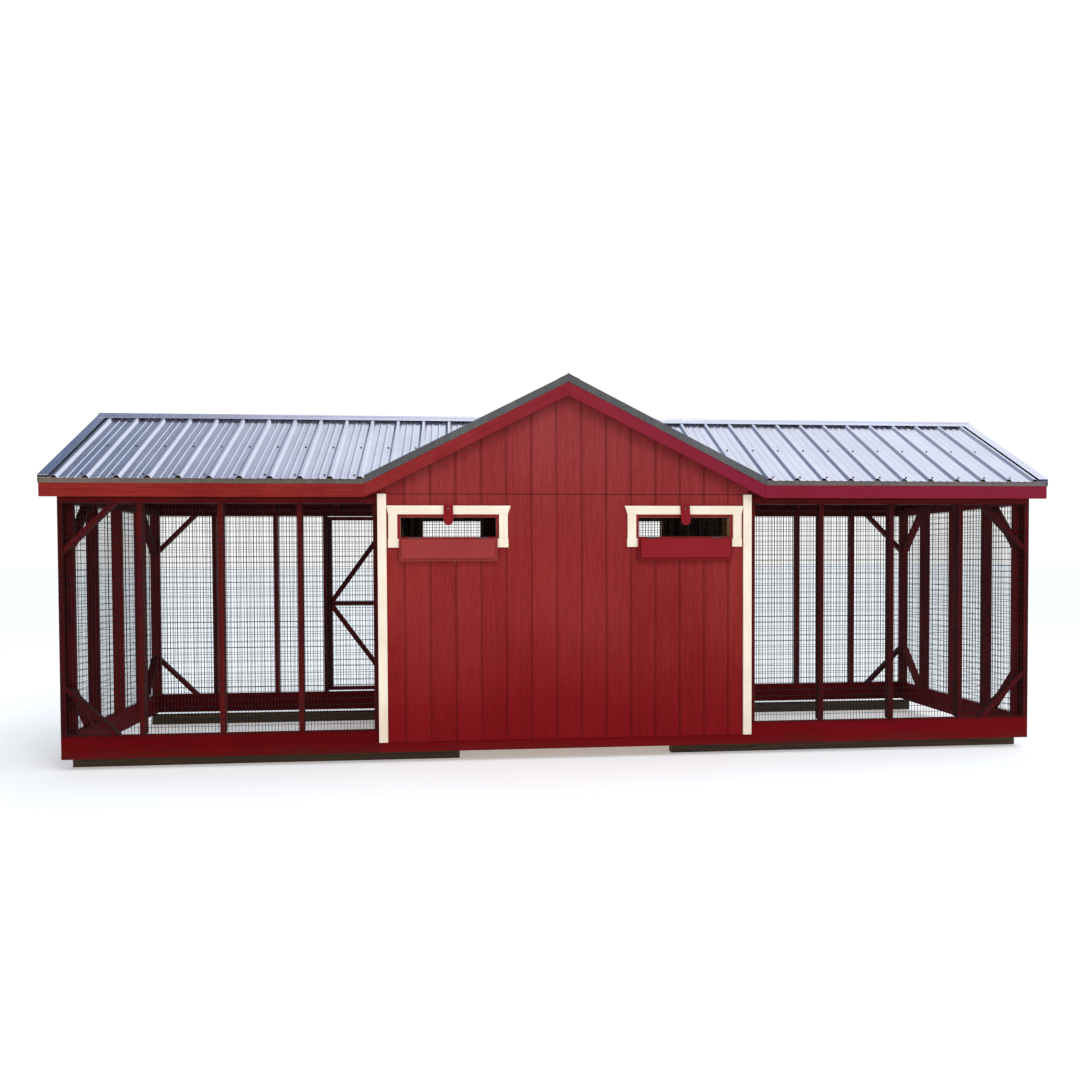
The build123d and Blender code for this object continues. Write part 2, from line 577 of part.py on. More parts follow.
save("run_door_pull", [pull_handle(RD_X0 + 16, HALF_D + TOUCH, MID - 220)])
save("house_door_pull", [pull_handle(HD_X1 - BOARD / 2, TRIM_Y + TOUCH, hd_mid - 220)])

# ---- pop doors: lift-up panels between each run and the hen house ----------
POP_LAP, POP_T, TRACK = 22.0, 12.0, 24.0
pop_x = HOUSE_X + SIDING_T + 0.6
pop = box(pop_x, pop_x + POP_T, -POP_HALF - POP_LAP, POP_HALF + POP_LAP,
          Z_POP - 8, Z_POP + POP_H + POP_LAP)
POP_TRAVEL = POP_H + 8
slot_y = POP_HALF + POP_LAP + 1.0
track_z0, track_z1 = Z_POP - 8.3, Z_POP + POP_H + POP_LAP + POP_TRAVEL + 10
tracks = []
for sy in SIGNS:
    y_out, y_in = sy * (slot_y + TRACK), sy * (slot_y - 10)
    track = box(HOUSE_X + SIDING_T, pop_x + POP_T + 11, y_in, y_out, track_z0, track_z1)
    slot = box(HOUSE_X + SIDING_T - 1, pop_x + POP_T + 1, sy * (slot_y - 11), sy * slot_y,
               track_z0 - 1, track_z1 + 1)
    tracks.append(track - slot)
stop = box(HOUSE_X + SIDING_T, pop_x + POP_T + 11, -slot_y - TRACK, slot_y + TRACK,
           track_z0 - 22, track_z0)
save("pop_door_right", [pop])
save("pop_door_left", [flip_x(pop)])
save("pop_door_tracks", both_x(tracks + [stop]))

# ---- furniture -------------------------------------------------------------
roosts = []
for x, z in ((WIN_IN - TIMBER / 2, 820.0), (ROOST_STUD, 1120.0)):
    roosts.append(box(x - TIMBER / 2, x + TIMBER / 2, -INNER_Y, INNER_Y, z, z + STUD_W))
save("roost_bars", roosts)

NEST_N, NEST_W, NEST_D, NEST_H, NEST_T = 4, 300.0, 340.0, 330.0, 12.0
nest_x0, nest_y0, nest_z0 = -FLOOR_X + 10, -INNER_Y, 620.0
nest_len = NEST_N * NEST_W + (NEST_N + 1) * NEST_T
nest = [box(nest_x0, nest_x0 + nest_len, nest_y0, nest_y0 + NEST_D, z, z + NEST_T)
        for z in (nest_z0, nest_z0 + NEST_H)]
nest += [box(nest_x0 + k * (NEST_W + NEST_T), nest_x0 + k * (NEST_W + NEST_T) + NEST_T,
             nest_y0, nest_y0 + NEST_D, nest_z0 + NEST_T, nest_z0 + NEST_H)
         for k in range(NEST_N + 1)]
nest.append(box(nest_x0, nest_x0 + nest_len, nest_y0 + NEST_D, nest_y0 + NEST_D + NEST_T,
                nest_z0, nest_z0 + 90))
save("nest_boxes", nest)

# ---- roof framing ----------------------------------------------------------
FAR = 6000.0
valley_dx = GABLE_HALF - VALLEY_TOP_X
valley_len = math.hypot(valley_dx, EAVE_Y)
along = (-valley_dx / valley_len, EAVE_Y / valley_len)     # front right valley, going up
across = (along[1], -along[0])                             # towards the long roof


def valley_point(s, off):
    """Plan point s along the front right valley and off towards the long roof."""
    return (GABLE_HALF + along[0] * s + across[0] * off,
            -EAVE_Y + along[1] * s + across[1] * off)


def plan_prism(points, z0=0.0, z1=FAR):
    return slab([(x, y, z0) for x, y in points], (0, 0, z1 - z0))


def on_plane(level, points, low, thick):
    """A board or sheet of vertical thickness lying on a roof plane."""
    return slab([(x, y, level(x, y) + low) for x, y in points], (0, 0, thick))


def main_level(x, y):
    return z_main(y)


def gable_level(x, y):
    return z_gable(x)


half_t = TIMBER / 2
valley_strip = plan_prism([valley_point(s, off) for s, off in
                           ((-300, -half_t - 0.1), (valley_len + 200, -half_t - 0.1),
                            (valley_len + 200, half_t + 0.1), (-300, half_t + 0.1))])
valley_strips = both_y(both_x([valley_strip]))
rise_per = MAIN_SLOPE * EAVE_Y / valley_len
v_top = Z_EAVE - PURLIN_V - 1.5
v0, v1 = (TIMBER - along[0] * half_t) / along[1] + 11.0, valley_len + 30
profile = [(v0, v_top + rise_per * v0), (v1, v_top + rise_per * v1),
           (v1, v_top + rise_per * v1 - RAFTER_V), (v0, v_top + rise_per * v0 - RAFTER_V)]
start = [(*valley_point(s, -half_t), z) for s, z in profile]
valley_rafter = slab(start, (across[0] * TIMBER, across[1] * TIMBER, 0))
valley_rafter -= box(-FAR, FAR, -FAR, FAR, 0, Z_WALL)
valley_rafter = largest(valley_rafter - box(-FAR, FAR, -0.1, FAR, 0, FAR))
valleys = both_y(both_x([valley_rafter]))

below_wall = box(-FAR, FAR, -FAR, FAR, 0, Z_WALL)
tail_y = EAVE_Y - TIMBER


def main_rafter(x):
    """Common rafter of the long roof, front half, at one station."""
    ys = (-tail_y, -half_t)
    outline = [(ys[0], z_main(ys[0]) - PURLIN_V), (ys[1], z_main(ys[1]) - PURLIN_V),
               (ys[1], z_main(ys[1]) - PURLIN_V - RAFTER_V),
               (ys[0], z_main(ys[0]) - PURLIN_V - RAFTER_V)]
    return prism_x(outline, x - half_t, x + half_t) - below_wall


def gable_rafter(y):
    """Rafter of the cross gable, right half, from the ridge to the valley."""
    xs = (half_t, GABLE_HALF)
    outline = [(x, z_gable(x) - PURLIN_V) for x in xs]
    outline += [(x, z_gable(x) - PURLIN_V - RAFTER_V) for x in reversed(xs)]
    return prism_y(outline, y - half_t, y + half_t) - below_wall


commons = [main_rafter(x) for x in (HALF_L - half_t, *inner_posts, GABLE_HALF + 25)]
jacks = []
for x in (GABLE_HALF - 399.0, GABLE_HALF - 805.0):
    jack = main_rafter(x)
    for strip in valley_strips[:1]:
        jack = jack - strip
    jacks.append(max(jack.solids(), key=lambda s: s.center().Y))
gable_jacks = []
for y in (-HALF_D + half_t, -HALF_D + 419.0, -HALF_D + 819.0):
    jack = gable_rafter(y) - valley_strip
    gable_jacks.append(min(jack.solids(), key=lambda s: s.center().X))
middle = gable_rafter(0.0)
for strip in (valley_strips[0], valley_strips[2]):
    middle = middle - strip
middle = min(middle.solids(), key=lambda s: s.center().X)
save("rafters", both_y(both_x(commons + jacks + gable_jacks)) + both_x([middle]) + valleys)

RIDGE_H = 184.0
TAIL_H = 85.0             # ridge board depth past the walls, hidden by the fascia
ridge_top = z_main(half_t) - PURLIN_V
main_ridge = box(VALLEY_TOP_X - 60, ROOF_X - TIMBER, -half_t, half_t,
                 ridge_top - RIDGE_H, ridge_top)
for strip in (valley_strips[0], valley_strips[2]):
    main_ridge = main_ridge - strip
main_ridge -= box(HALF_L, FAR, -FAR, FAR, 0, ridge_top - TAIL_H)
main_ridge = largest(main_ridge)
gable_ridge_top = z_gable(half_t) - PURLIN_V
gable_ridge = box(-half_t, half_t, -tail_y, tail_y, gable_ridge_top - RIDGE_H,
                  gable_ridge_top)
for sy in SIGNS:
    gable_ridge -= box(-FAR, FAR, sy * HALF_D, sy * FAR, 0, gable_ridge_top - TAIL_H)
save("ridge_boards", both_x([main_ridge]) + [gable_ridge])

# Gable siding, notched round the ridge boards and stopped against the valley rafters.
GABLE_BASE = Z_WALL + SEAM_GAP
gable_under = PURLIN_V + 2
gable_outline = [(-HOUSE_X, GABLE_BASE), (HOUSE_X, GABLE_BASE),
                 (HOUSE_X, z_gable(HOUSE_X) - gable_under), (0, z_gable(0) - gable_under),
                 (-HOUSE_X, z_gable(HOUSE_X) - gable_under)]
gable_panel = prism_y(gable_outline, -SIDING_Y, -HALF_D) & grooved_y(
    -HOUSE_X, HOUSE_X, GABLE_BASE, z_gable(0), -HALF_D, -1)
gable_panel -= box(-half_t - 1, half_t + 1, -FAR, 0, gable_ridge_top - TAIL_H - 1, FAR)
for strip in valley_strips[:2]:
    gable_panel = gable_panel - strip
gable_panel = largest(gable_panel)
end_outline = [(-HALF_D, GABLE_BASE), (HALF_D, GABLE_BASE),
               (HALF_D, z_main(HALF_D) - gable_under), (0, z_main(0) - gable_under),
               (-HALF_D, z_main(HALF_D) - gable_under)]
end_panel = prism_x(end_outline, HALF_L, HALF_L + SIDING_T) & grooved_x(
    -HALF_D, HALF_D, GABLE_BASE, z_main(0), HALF_L, 1)
end_panel -= box(0, FAR, -half_t - 1, half_t + 1, ridge_top - TAIL_H - 1, FAR)
save("gable_siding", both_y([gable_panel]) + both_x([end_panel]))

VALLEY_GAP = 3.0
main_area = plan_prism([valley_point(-400, VALLEY_GAP), (FAR, -2 * EAVE_Y), (FAR, -0.2),
                        (valley_point(valley_len, VALLEY_GAP)[0], -0.2)])
gable_area = plan_prism([valley_point(-400, -VALLEY_GAP), (0.2, -2 * EAVE_Y), (0.2, -0.2),
                         (valley_point(valley_len, -VALLEY_GAP)[0], -0.2)])


def clipped(shape, area):
    return largest(shape & area)


RIDGE_ROW = 85.0          # top purlin off the ridge
PURLIN_LOW = tail_y - 48.0
PURLIN_ROWS = (PURLIN_LOW, (PURLIN_LOW + RIDGE_ROW) / 2, RIDGE_ROW)
purlins = []
for row in PURLIN_ROWS:
    y0, y1 = -min(row + 44, tail_y), -row + 40
    strip = on_plane(main_level, [(200, y0), (ROOF_X - TIMBER, y0), (ROOF_X - TIMBER, y1),
                                  (200, y1)], -PURLIN_V, PURLIN_V)
    purlins.append(clipped(strip, main_area))
GABLE_LOW = GABLE_HALF - 218.0
GABLE_ROWS = (GABLE_LOW, (GABLE_LOW + RIDGE_ROW) / 2, RIDGE_ROW)
for row in GABLE_ROWS:
    strip = on_plane(gable_level, [(row - 40, -tail_y), (row + 44, -tail_y),
                                   (row + 44, -0.2), (row - 40, -0.2)], -PURLIN_V, PURLIN_V)
    purlins.append(clipped(strip, gable_area))
save("purlins", both_y(both_x(purlins)))

# Fascia and rake boards, then the folded metal trims that cap them.
FASCIA_DROP = 5.0


def chevron(level, a0, a1, low, high):
    """Band between two heights over the roof plane, from a0 to a1."""
    return [(a0, level(a0) + low), (a1, level(a1) + low), (a1, level(a1) + high),
            (a0, level(a0) + high)]


band = (-FASCIA_DROP - FASCIA_H, -FASCIA_DROP)
level_fascia = box(GABLE_HALF + 0.3, ROOF_X, -EAVE_Y, -tail_y, Z_EAVE + band[0],
                   Z_EAVE + band[1])
gable_fascia = prism_y(chevron(z_gable, 0.15, GABLE_HALF, *band), -EAVE_Y, -tail_y)
end_rake = prism_x(chevron(z_main, -tail_y + TOUCH, -0.15, *band), ROOF_X - TIMBER, ROOF_X)
save("fascia", both_y(both_x([level_fascia, gable_fascia, end_rake])))

FOLD = 1.2
TRIM_DROP = 41.0
eave_l = [(-EAVE_Y - FOLD - TOUCH, Z_EAVE - TRIM_DROP), (-EAVE_Y - TOUCH, Z_EAVE - TRIM_DROP),
          (-EAVE_Y - TOUCH, Z_EAVE - FOLD), (-EAVE_Y + 1, Z_EAVE - FOLD),
          (-EAVE_Y + 1, Z_EAVE), (-EAVE_Y - FOLD - TOUCH, Z_EAVE)]
eave_trim = prism_x(eave_l, GABLE_HALF + 4, ROOF_X)
save("eave_trims", both_y(both_x([eave_trim])))

RAKE_OVER = RIB_H + SHEET_LIFT + SHEET_T + 1.0
EDGE_Y = EAVE_Y + DRIP
GABLE_FACE_Y = EAVE_Y + 1.5


def rake_l(out, back, drop):
    """Folded L over the end of a ribbed sheet: (distance outwards, height) pairs."""
    return [(out, -drop), (out, RAKE_OVER + FOLD), (back, RAKE_OVER + FOLD),
            (back, RAKE_OVER), (out - FOLD, RAKE_OVER), (out - FOLD, -drop)]


RAKE_BACK, RAKE_DROP = 52.0, 38.0
gable_push = (0.15 - GABLE_HALF, 0, z_gable(0.15) - Z_EAVE)
gable_l = [(GABLE_HALF, -d, Z_EAVE + h) for d, h in
           rake_l(EAVE_Y + TOUCH + FOLD + 2, EAVE_Y - RAKE_BACK, RAKE_DROP)]
save("gable_rake_trims", both_y(both_x([clipped(slab(gable_l, gable_push), gable_area)])))
END_FACE = ROOF_X + TOUCH + FOLD
end_push = (0, EDGE_Y - 0.15, MAIN_SLOPE * (EDGE_Y - 0.15))
end_l = [(d, -EDGE_Y, z_main(EDGE_Y) + h) for d, h in
         rake_l(END_FACE, END_FACE - 82, RAKE_DROP)]
save("end_rake_trims", both_y(both_x([slab(end_l, end_push)])))

# ---- ribbed roof sheets ----------------------------------------------------
def rib_profile(start_at, stop_at, first_rib):
    """Top line of a sheet from start_at to stop_at: wide ribs every RIB_PITCH counted
    from first_rib, with two low stiffeners between each pair."""
    line = [(start_at, 0.0)]
    k = math.ceil((start_at - first_rib) / RIB_PITCH) - 1
    while first_rib + k * RIB_PITCH < stop_at + RIB_PITCH:
        rib = first_rib + k * RIB_PITCH
        for centre, half_base, half_top, height in (
                (rib, 30.0, 10.0, RIB_H),
                (rib + RIB_PITCH * 0.37, 13.0, 6.0, 4.0),
                (rib + RIB_PITCH * 0.63, 13.0, 6.0, 4.0)):
            if centre - half_base > start_at + 1 and centre + half_base < stop_at - 1:
                line += [(centre - half_base, 0.0), (centre - half_top, height),
                         (centre + half_top, height), (centre + half_base, 0.0)]
        k += 1
    return line + [(stop_at, 0.0)]


def sheet_outline(start_at, stop_at, first_rib):
    top = rib_profile(start_at, stop_at, first_rib)
    return top + [(a, h - SHEET_T) for a, h in reversed(top)]


SHEET_W = 4 * RIB_PITCH
LIFT = SHEET_LIFT + SHEET_T
RIB_0 = ROOF_X - 4 - RIB_PITCH / 2
sheet_count = round((ROOF_X - VALLEY_TOP_X) / SHEET_W)
edges = [ROOF_X - 2 - k * SHEET_W for k in range(sheet_count)] + [VALLEY_TOP_X - 5]
sheets = []
run = EDGE_Y - 0.3
for a, b in zip(edges[1:], edges[:-1]):
    outline = sheet_outline(a + 0.2, b - 0.2, RIB_0)
    points = [(x, -EDGE_Y, z_main(EDGE_Y) + h + LIFT) for x, h in outline]
    sheet = slab(points, (0, run, MAIN_SLOPE * run))
    sheets.append(sheet if a > GABLE_HALF + 40 else clipped(sheet, main_area))
save("roof_sheets_main", both_y(both_x(sheets)))

GRIB_0 = -RIB_PITCH / 2
g_edges = [-GABLE_FACE_Y, -2 * RIB_PITCH, -0.2]
g_sheets = []
g_run = GABLE_HALF + 30
for a, b in zip(g_edges[:-1], g_edges[1:]):
    outline = sheet_outline(a + 0.2, b - 0.2, GRIB_0)
    points = [(g_run + 0.3, y, z_gable(g_run + 0.3) + h + LIFT) for y, h in outline]
    sheet = slab(points, (-g_run, 0, GABLE_SLOPE * g_run))
    g_sheets.append(clipped(sheet, gable_area))
save("roof_sheets_gable", both_y(both_x(g_sheets)))

FLASH_W, FLASH_T = 95.0, 0.6
s0, s1 = 25.0, valley_len - 8
flash = on_plane(main_level, [valley_point(s0, 0), valley_point(s1, 0),
                              valley_point(s1 - FLASH_W, FLASH_W),
                              valley_point(s0, FLASH_W)], 0.1, FLASH_T)
flash += on_plane(gable_level, [valley_point(s0, 0), valley_point(s1, 0),
                                valley_point(s1 - FLASH_W, -FLASH_W),
                                valley_point(s0, -FLASH_W)], 0.1, FLASH_T)
flash = largest(flash & box(-FAR, FAR, -EAVE_Y + 2, 0, 0, FAR))
save("valley_flashings", both_y(both_x([flash])))

CAP_END_Y = EDGE_Y - 3
CAP_SEAT = RAKE_OVER + FOLD + 0.3


def cap_outline(level):
    """Ridge cap section: two flanges and a raised round bead."""
    half = [(CAP_W, level(CAP_W) + CAP_SEAT), (CAP_W, level(CAP_W) + CAP_SEAT + FOLD)]
    bead = []
    for k in range(9):
        a = math.pi * k / 8
        bead.append((CAP_BEAD * math.cos(a),
                     level(CAP_BEAD) + CAP_SEAT + FOLD + CAP_BEAD * math.sin(a)))
    return half + bead + [(-a, z) for a, z in reversed(half)] + [(0, level(0) + CAP_SEAT)]


main_cap = prism_x(cap_outline(z_main), VALLEY_TOP_X - 20, END_FACE)
lip_gap = 34.0
cap_area = plan_prism([valley_point(200, lip_gap), (FAR, -2 * EAVE_Y), (FAR, 2 * EAVE_Y),
                       (valley_point(200, lip_gap)[0], -valley_point(200, lip_gap)[1]),
                       (valley_point(valley_len, lip_gap)[0] + 5, 0)])
main_cap = largest(main_cap & cap_area)
gable_cap = prism_y(cap_outline(z_gable), -CAP_END_Y, CAP_END_Y)
save("ridge_caps", both_x([main_cap]) + [gable_cap])

def roof_screw(x, y, z, normal):
    """Hex-head roofing screw with its sealing washer, square to the sheet."""
    washer = Pos(0, 0, 1.4) * Cylinder(9.0, 2.4)
    head = Pos(0, 0, 4.5) * extrude(RegularPolygon(6.5, 6), 2.5, both=True)
    return Plane(origin=(x, y, z), z_dir=normal) * (washer + head)


SCREW_OFF = 48.0          # beside each wide rib
SCREW_UP = 30.0           # below a purlin's middle
screws = []
for k in range(int(ROOF_X / RIB_PITCH)):
    x = RIB_0 - k * RIB_PITCH + SCREW_OFF
    for row in [middle_row + SCREW_UP for middle_row in PURLIN_ROWS[:2]]:
        valley_x = VALLEY_TOP_X + valley_dx * row / EAVE_Y
        if valley_x + 70 < x < ROOF_X - 90:
            screws.append(roof_screw(x, -row, z_main(row) + LIFT, (0, -MAIN_SLOPE, 1)))
for k in range(int(EAVE_Y / RIB_PITCH) + 1):
    y = GRIB_0 - k * RIB_PITCH + SCREW_OFF
    for row in [middle_row + SCREW_UP for middle_row in GABLE_ROWS[:2]]:
        valley_y = EAVE_Y * (row - VALLEY_TOP_X) / valley_dx
        if -EAVE_Y + 60 < y < min(-30, -valley_y - 70):
            screws.append(roof_screw(row, y, z_gable(row) + LIFT, (GABLE_SLOPE, 0, 1)))
save("roof_screws", both_y(both_x(screws)))
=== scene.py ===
# %% [markdown]
# # A red chicken coop
# The coop is a closed hen house between two wire runs, on four ground skids and under a
# ribbed steel roof with a cross gable. Its sizes, joints and bodies are already settled in
# the packed model, so the first step only loads that model as a fixed frame. Everything
# made below is a finish on those parts or a finer stand-in for one of them.

# %% Load the frame
import json
import math

import bmesh
import bpy
import numpy as np
from mathutils import Matrix, Vector

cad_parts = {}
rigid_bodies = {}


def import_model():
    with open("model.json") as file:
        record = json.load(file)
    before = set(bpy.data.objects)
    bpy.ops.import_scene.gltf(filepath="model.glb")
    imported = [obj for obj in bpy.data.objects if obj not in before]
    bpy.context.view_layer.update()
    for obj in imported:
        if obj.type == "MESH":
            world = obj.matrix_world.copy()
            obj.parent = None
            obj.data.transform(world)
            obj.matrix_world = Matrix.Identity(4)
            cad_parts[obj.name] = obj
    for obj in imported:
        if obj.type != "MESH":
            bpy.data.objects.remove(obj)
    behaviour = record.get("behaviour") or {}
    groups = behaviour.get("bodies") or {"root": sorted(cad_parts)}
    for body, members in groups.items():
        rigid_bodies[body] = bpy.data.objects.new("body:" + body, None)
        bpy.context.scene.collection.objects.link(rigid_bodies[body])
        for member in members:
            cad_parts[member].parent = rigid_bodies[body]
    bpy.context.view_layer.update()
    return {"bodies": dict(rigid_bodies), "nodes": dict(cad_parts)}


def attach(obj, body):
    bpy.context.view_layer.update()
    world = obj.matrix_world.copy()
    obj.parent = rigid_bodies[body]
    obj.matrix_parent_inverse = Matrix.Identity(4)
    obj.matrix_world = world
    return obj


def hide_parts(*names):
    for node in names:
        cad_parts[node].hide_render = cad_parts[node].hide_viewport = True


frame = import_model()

nodes = frame["nodes"]

# %% [markdown]
# ## Where the viewer stands
# The coop is eight metres long, so the viewer stands eight metres in front of its front
# wall, a little left of the middle and at eye height. A camera is a turned box: its columns
# are the directions right, up and back. Written out that way, the heading, the tilt and the
# small roll each stay one plain number.

# %% Camera
EYE = Vector((-0.869, -9.272, 1.641))
HEADING, TILT, ROLL = 0.1041, -0.0267, -0.0040
FOCAL = 33.18
SHIFT = (-0.0228, 0.0415)
FAR_CLIP = 400

forward = Vector((math.sin(HEADING) * math.cos(TILT),
                  math.cos(HEADING) * math.cos(TILT),
                  math.sin(TILT)))
level_right = Vector((math.cos(HEADING), -math.sin(HEADING), 0))
level_up = level_right.cross(forward)
right = math.cos(ROLL) * level_right + math.sin(ROLL) * level_up
up = math.cos(ROLL) * level_up - math.sin(ROLL) * level_right

lens = bpy.data.cameras.new("viewer")
lens.lens = FOCAL
lens.shift_x, lens.shift_y = SHIFT
lens.clip_end = FAR_CLIP
viewer = bpy.data.objects.new("viewer", lens)
turned = Matrix((right, up, -forward)).transposed().to_4x4()
viewer.matrix_world = Matrix.Translation(EYE) @ turned
bpy.context.collection.objects.link(viewer)
bpy.context.scene.camera = viewer
print("lens", round(FOCAL, 2), "mm, looking", [round(x, 3) for x in forward])

# %% [markdown]
# ## Floor and light
# A pale floor and a white backdrop show the coop plainly. The floor is matt and so bright
# that it meets the backdrop without a line. Steel only comes alive when it has something to
# reflect, so the soft light round the coop is not even: it runs from a dim blue on the left
# to a bright white on the right, as a big soft box on that side would give. The backdrop is
# white to look at all the same: the world mixes the two on whether a ray comes straight
# from the viewer. The Standard view shows the colours as they are mixed, with no film curve.

# %% Floor and soft light
FLOOR_REACH, FLOOR_DROP = 200.0, 0.001
FLOOR_WHITE, FLOOR_GLOW, GLOW_TINT = 0.90, 0.32, (1, 0.97, 0.93, 1)
DIM_SIDE, BRIGHT_SIDE = (0.09, 0.16, 0.28), (1.10, 1.19, 1.26)
DIM_UNTIL, BRIGHT_FROM = -0.40, 0.02
BACKDROP = 1.05

floor_mesh = bpy.data.meshes.new("floor")
floor_mesh.from_pydata([(x * FLOOR_REACH, y * FLOOR_REACH, -FLOOR_DROP)
                        for x, y in ((-1, -1), (1, -1), (1, 1), (-1, 1))], [], [(0, 1, 2, 3)])
floor = bpy.data.objects.new("floor", floor_mesh)
bpy.context.collection.objects.link(floor)

pale = bpy.data.materials.new("pale_floor")
pale.use_nodes = True
for socket, value in (("Base Color", (FLOOR_WHITE,) * 3 + (1,)), ("Roughness", 1.0),
                      ("Specular IOR Level", 0.0), ("Emission Color", GLOW_TINT),
                      ("Emission Strength", FLOOR_GLOW)):
    pale.node_tree.nodes["Principled BSDF"].inputs[socket].default_value = value
floor_mesh.materials.append(pale)

sky = bpy.data.worlds.new("sky")
sky.use_nodes = True
sky.node_tree.nodes.clear()


def put(kind, settings, feeds, out=0):
    """Add a node to the world: settings first, then values or other nodes' outputs."""
    node = sky.node_tree.nodes.new(kind)
    for key, value in settings.items():
        setattr(node, key, value)
    for key, value in feeds.items():
        if isinstance(value, bpy.types.NodeSocket):
            sky.node_tree.links.new(value, node.inputs[key])
        else:
            node.inputs[key].default_value = value
    return node.outputs[out] if node.outputs else None


direction = put("ShaderNodeTexCoord", {}, {})
side = put("ShaderNodeSeparateXYZ", {}, {0: direction})
share = put("ShaderNodeMapRange", {"interpolation_type": "SMOOTHSTEP"},
            {0: side, 1: DIM_UNTIL, 2: BRIGHT_FROM, 3: 0.0, 4: 1.0})
blend = put("ShaderNodeMix", {"data_type": "RGBA"},
            {0: share, 6: (*DIM_SIDE, 1), 7: (*BRIGHT_SIDE, 1)}, 2)
seen = put("ShaderNodeLightPath", {}, {})
soft = put("ShaderNodeBackground", {}, {0: blend})
white = put("ShaderNodeBackground", {}, {0: (1, 1, 1, 1), 1: BACKDROP})
either = put("ShaderNodeMixShader", {}, {0: seen, 1: soft, 2: white})
put("ShaderNodeOutputWorld", {}, {0: either})
bpy.context.scene.world = sky
bpy.context.scene.view_settings.view_transform = "Standard"
print("sky", len(sky.node_tree.nodes), "nodes, floor", [round(x, 1) for x in floor.dimensions])

# %% [markdown]
# Two wide soft lamps stand low in front, below the roof, so that they light the boards and
# leave the steel to the sky: a warm one on the left and a cooler one on the right. A third,
# high on the right, draws the soft shadows under the eaves, the trim and the flaps.

# %% Lamps
def soft_lamp(name, place, aim, size, power, colour):
    """A square lamp at place that faces aim."""
    data = bpy.data.lights.new(name, "AREA")
    data.shape, data.size, data.energy, data.color = "SQUARE", size, power, colour
    lamp = bpy.data.objects.new(name, data)
    lamp.location = place
    lamp.rotation_euler = (Vector(aim) - Vector(place)).to_track_quat("-Z", "Y").to_euler()
    bpy.context.collection.objects.link(lamp)


soft_lamp("warm", place=(-9, -10, 3.0), aim=(-3, 0, 1.6), size=4, power=210,
          colour=(1.0, 0.76, 0.48))
soft_lamp("cool", place=(9, -10, 3.0), aim=(3, 0, 1.6), size=4, power=110,
          colour=(0.72, 0.66, 1.0))
soft_lamp("high", place=(2, -11, 12), aim=(0, 0, 1.5), size=3, power=420,
          colour=(1.0, 0.98, 0.95))

# %% [markdown]
# ## Writing finishes as sums
# A finish is a small network of nodes. Wiring one by hand is slow to read, so two small
# classes let it be written as arithmetic: a Tap is the number that comes out of a node, and
# adding or multiplying Taps adds Math nodes. Colours are never added that way, because a
# Math node turns them grey; they go through a Mix node.

# %% Taps and paints
class Tap:
    """A value that comes out of a node. Arithmetic on it adds Math nodes."""

    def __init__(self, paint, socket):
        self.paint, self.socket = paint, socket

    def calc(self, operation, first, second):
        return self.paint.node("ShaderNodeMath", {"operation": operation},
                               {0: first, 1: second})

    def __add__(self, other):
        return self.calc("ADD", self, other)

    def __sub__(self, other):
        return self.calc("SUBTRACT", self, other)

    def __mul__(self, other):
        return self.calc("MULTIPLY", self, other)

    def __rsub__(self, other):
        return self.calc("SUBTRACT", other, self)

    __radd__, __rmul__ = __add__, __mul__


class Paint:
    """One finish: a material with its Principled shader and the nodes that feed it."""

    def __init__(self, name, **constants):
        self.material = bpy.data.materials.new(name)
        self.material.use_nodes = True
        self.tree = self.material.node_tree
        self.shader = self.tree.nodes["Principled BSDF"]
        for title, value in constants.items():
            self.shader.inputs[title.replace("_", " ")].default_value = value

    def node(self, kind, settings, feeds, out=0):
        """Any node: its settings first, then the values or links of its sockets."""
        made = self.tree.nodes.new(kind)
        for key, value in settings.items():
            setattr(made, key, value)
        for key, value in feeds.items():
            self.feed(made.inputs[key], value)
        return Tap(self, made.outputs[out])

    def feed(self, socket, value):
        if isinstance(value, Tap):
            self.tree.links.new(value.socket, socket)
        else:
            socket.default_value = value

    def place(self):
        """Where a point is on the coop, in metres."""
        return self.node("ShaderNodeTexCoord", {}, {}, 3)

    def attribute(self, name, out):
        return self.node("ShaderNodeAttribute", {"attribute_name": name}, {}, out)

    def along(self, vector, axis):
        """One coordinate of a vector: 0, 1 or 2."""
        return self.node("ShaderNodeSeparateXYZ", {}, {0: vector}, axis)

    def stretch(self, vector, factors):
        return self.node("ShaderNodeVectorMath", {"operation": "MULTIPLY"},
                         {0: vector, 1: factors})

    def noise(self, vector, factors, detail=3.0, rough=0.55, bend=0.0):
        """Smooth noise from 0 to 1, with that many waves a metre along each axis."""
        return self.node("ShaderNodeTexNoise", {}, {
            "Vector": self.stretch(vector, factors), "Scale": 1.0, "Detail": detail,
            "Roughness": rough, "Distortion": bend})

    def step(self, value, low, high):
        """0 below low, 1 above high and a smooth slope between."""
        return self.node("ShaderNodeMapRange", {"interpolation_type": "SMOOTHSTEP"},
                         {0: value, 1: low, 2: high, 3: 0.0, 4: 1.0})

    def mix(self, share, first, second):
        """first where share is 0, second where it is 1."""
        made = self.tree.nodes.new("ShaderNodeMix")
        made.data_type = "RGBA"
        for index, value in ((0, share), (6, first), (7, second)):
            if index and not isinstance(value, Tap):
                value = (*value, 1.0)
            self.feed(made.inputs[index], value)
        return Tap(self, made.outputs[2])

    def finish(self, colour, roughness, relief, depth):
        """Feed the shader: colour, roughness and a relief that is depth metres deep."""
        self.feed(self.shader.inputs["Base Color"], colour)
        self.feed(self.shader.inputs["Roughness"], roughness)
        bump = self.node("ShaderNodeBump", {}, {"Height": relief, "Distance": depth})
        self.feed(self.shader.inputs["Normal"], bump)
        return self.material


def coat(names, finish):
    """Give a finish to nodes that keep their own mesh."""
    for node in names:
        nodes[node].material_slots[0].material = finish


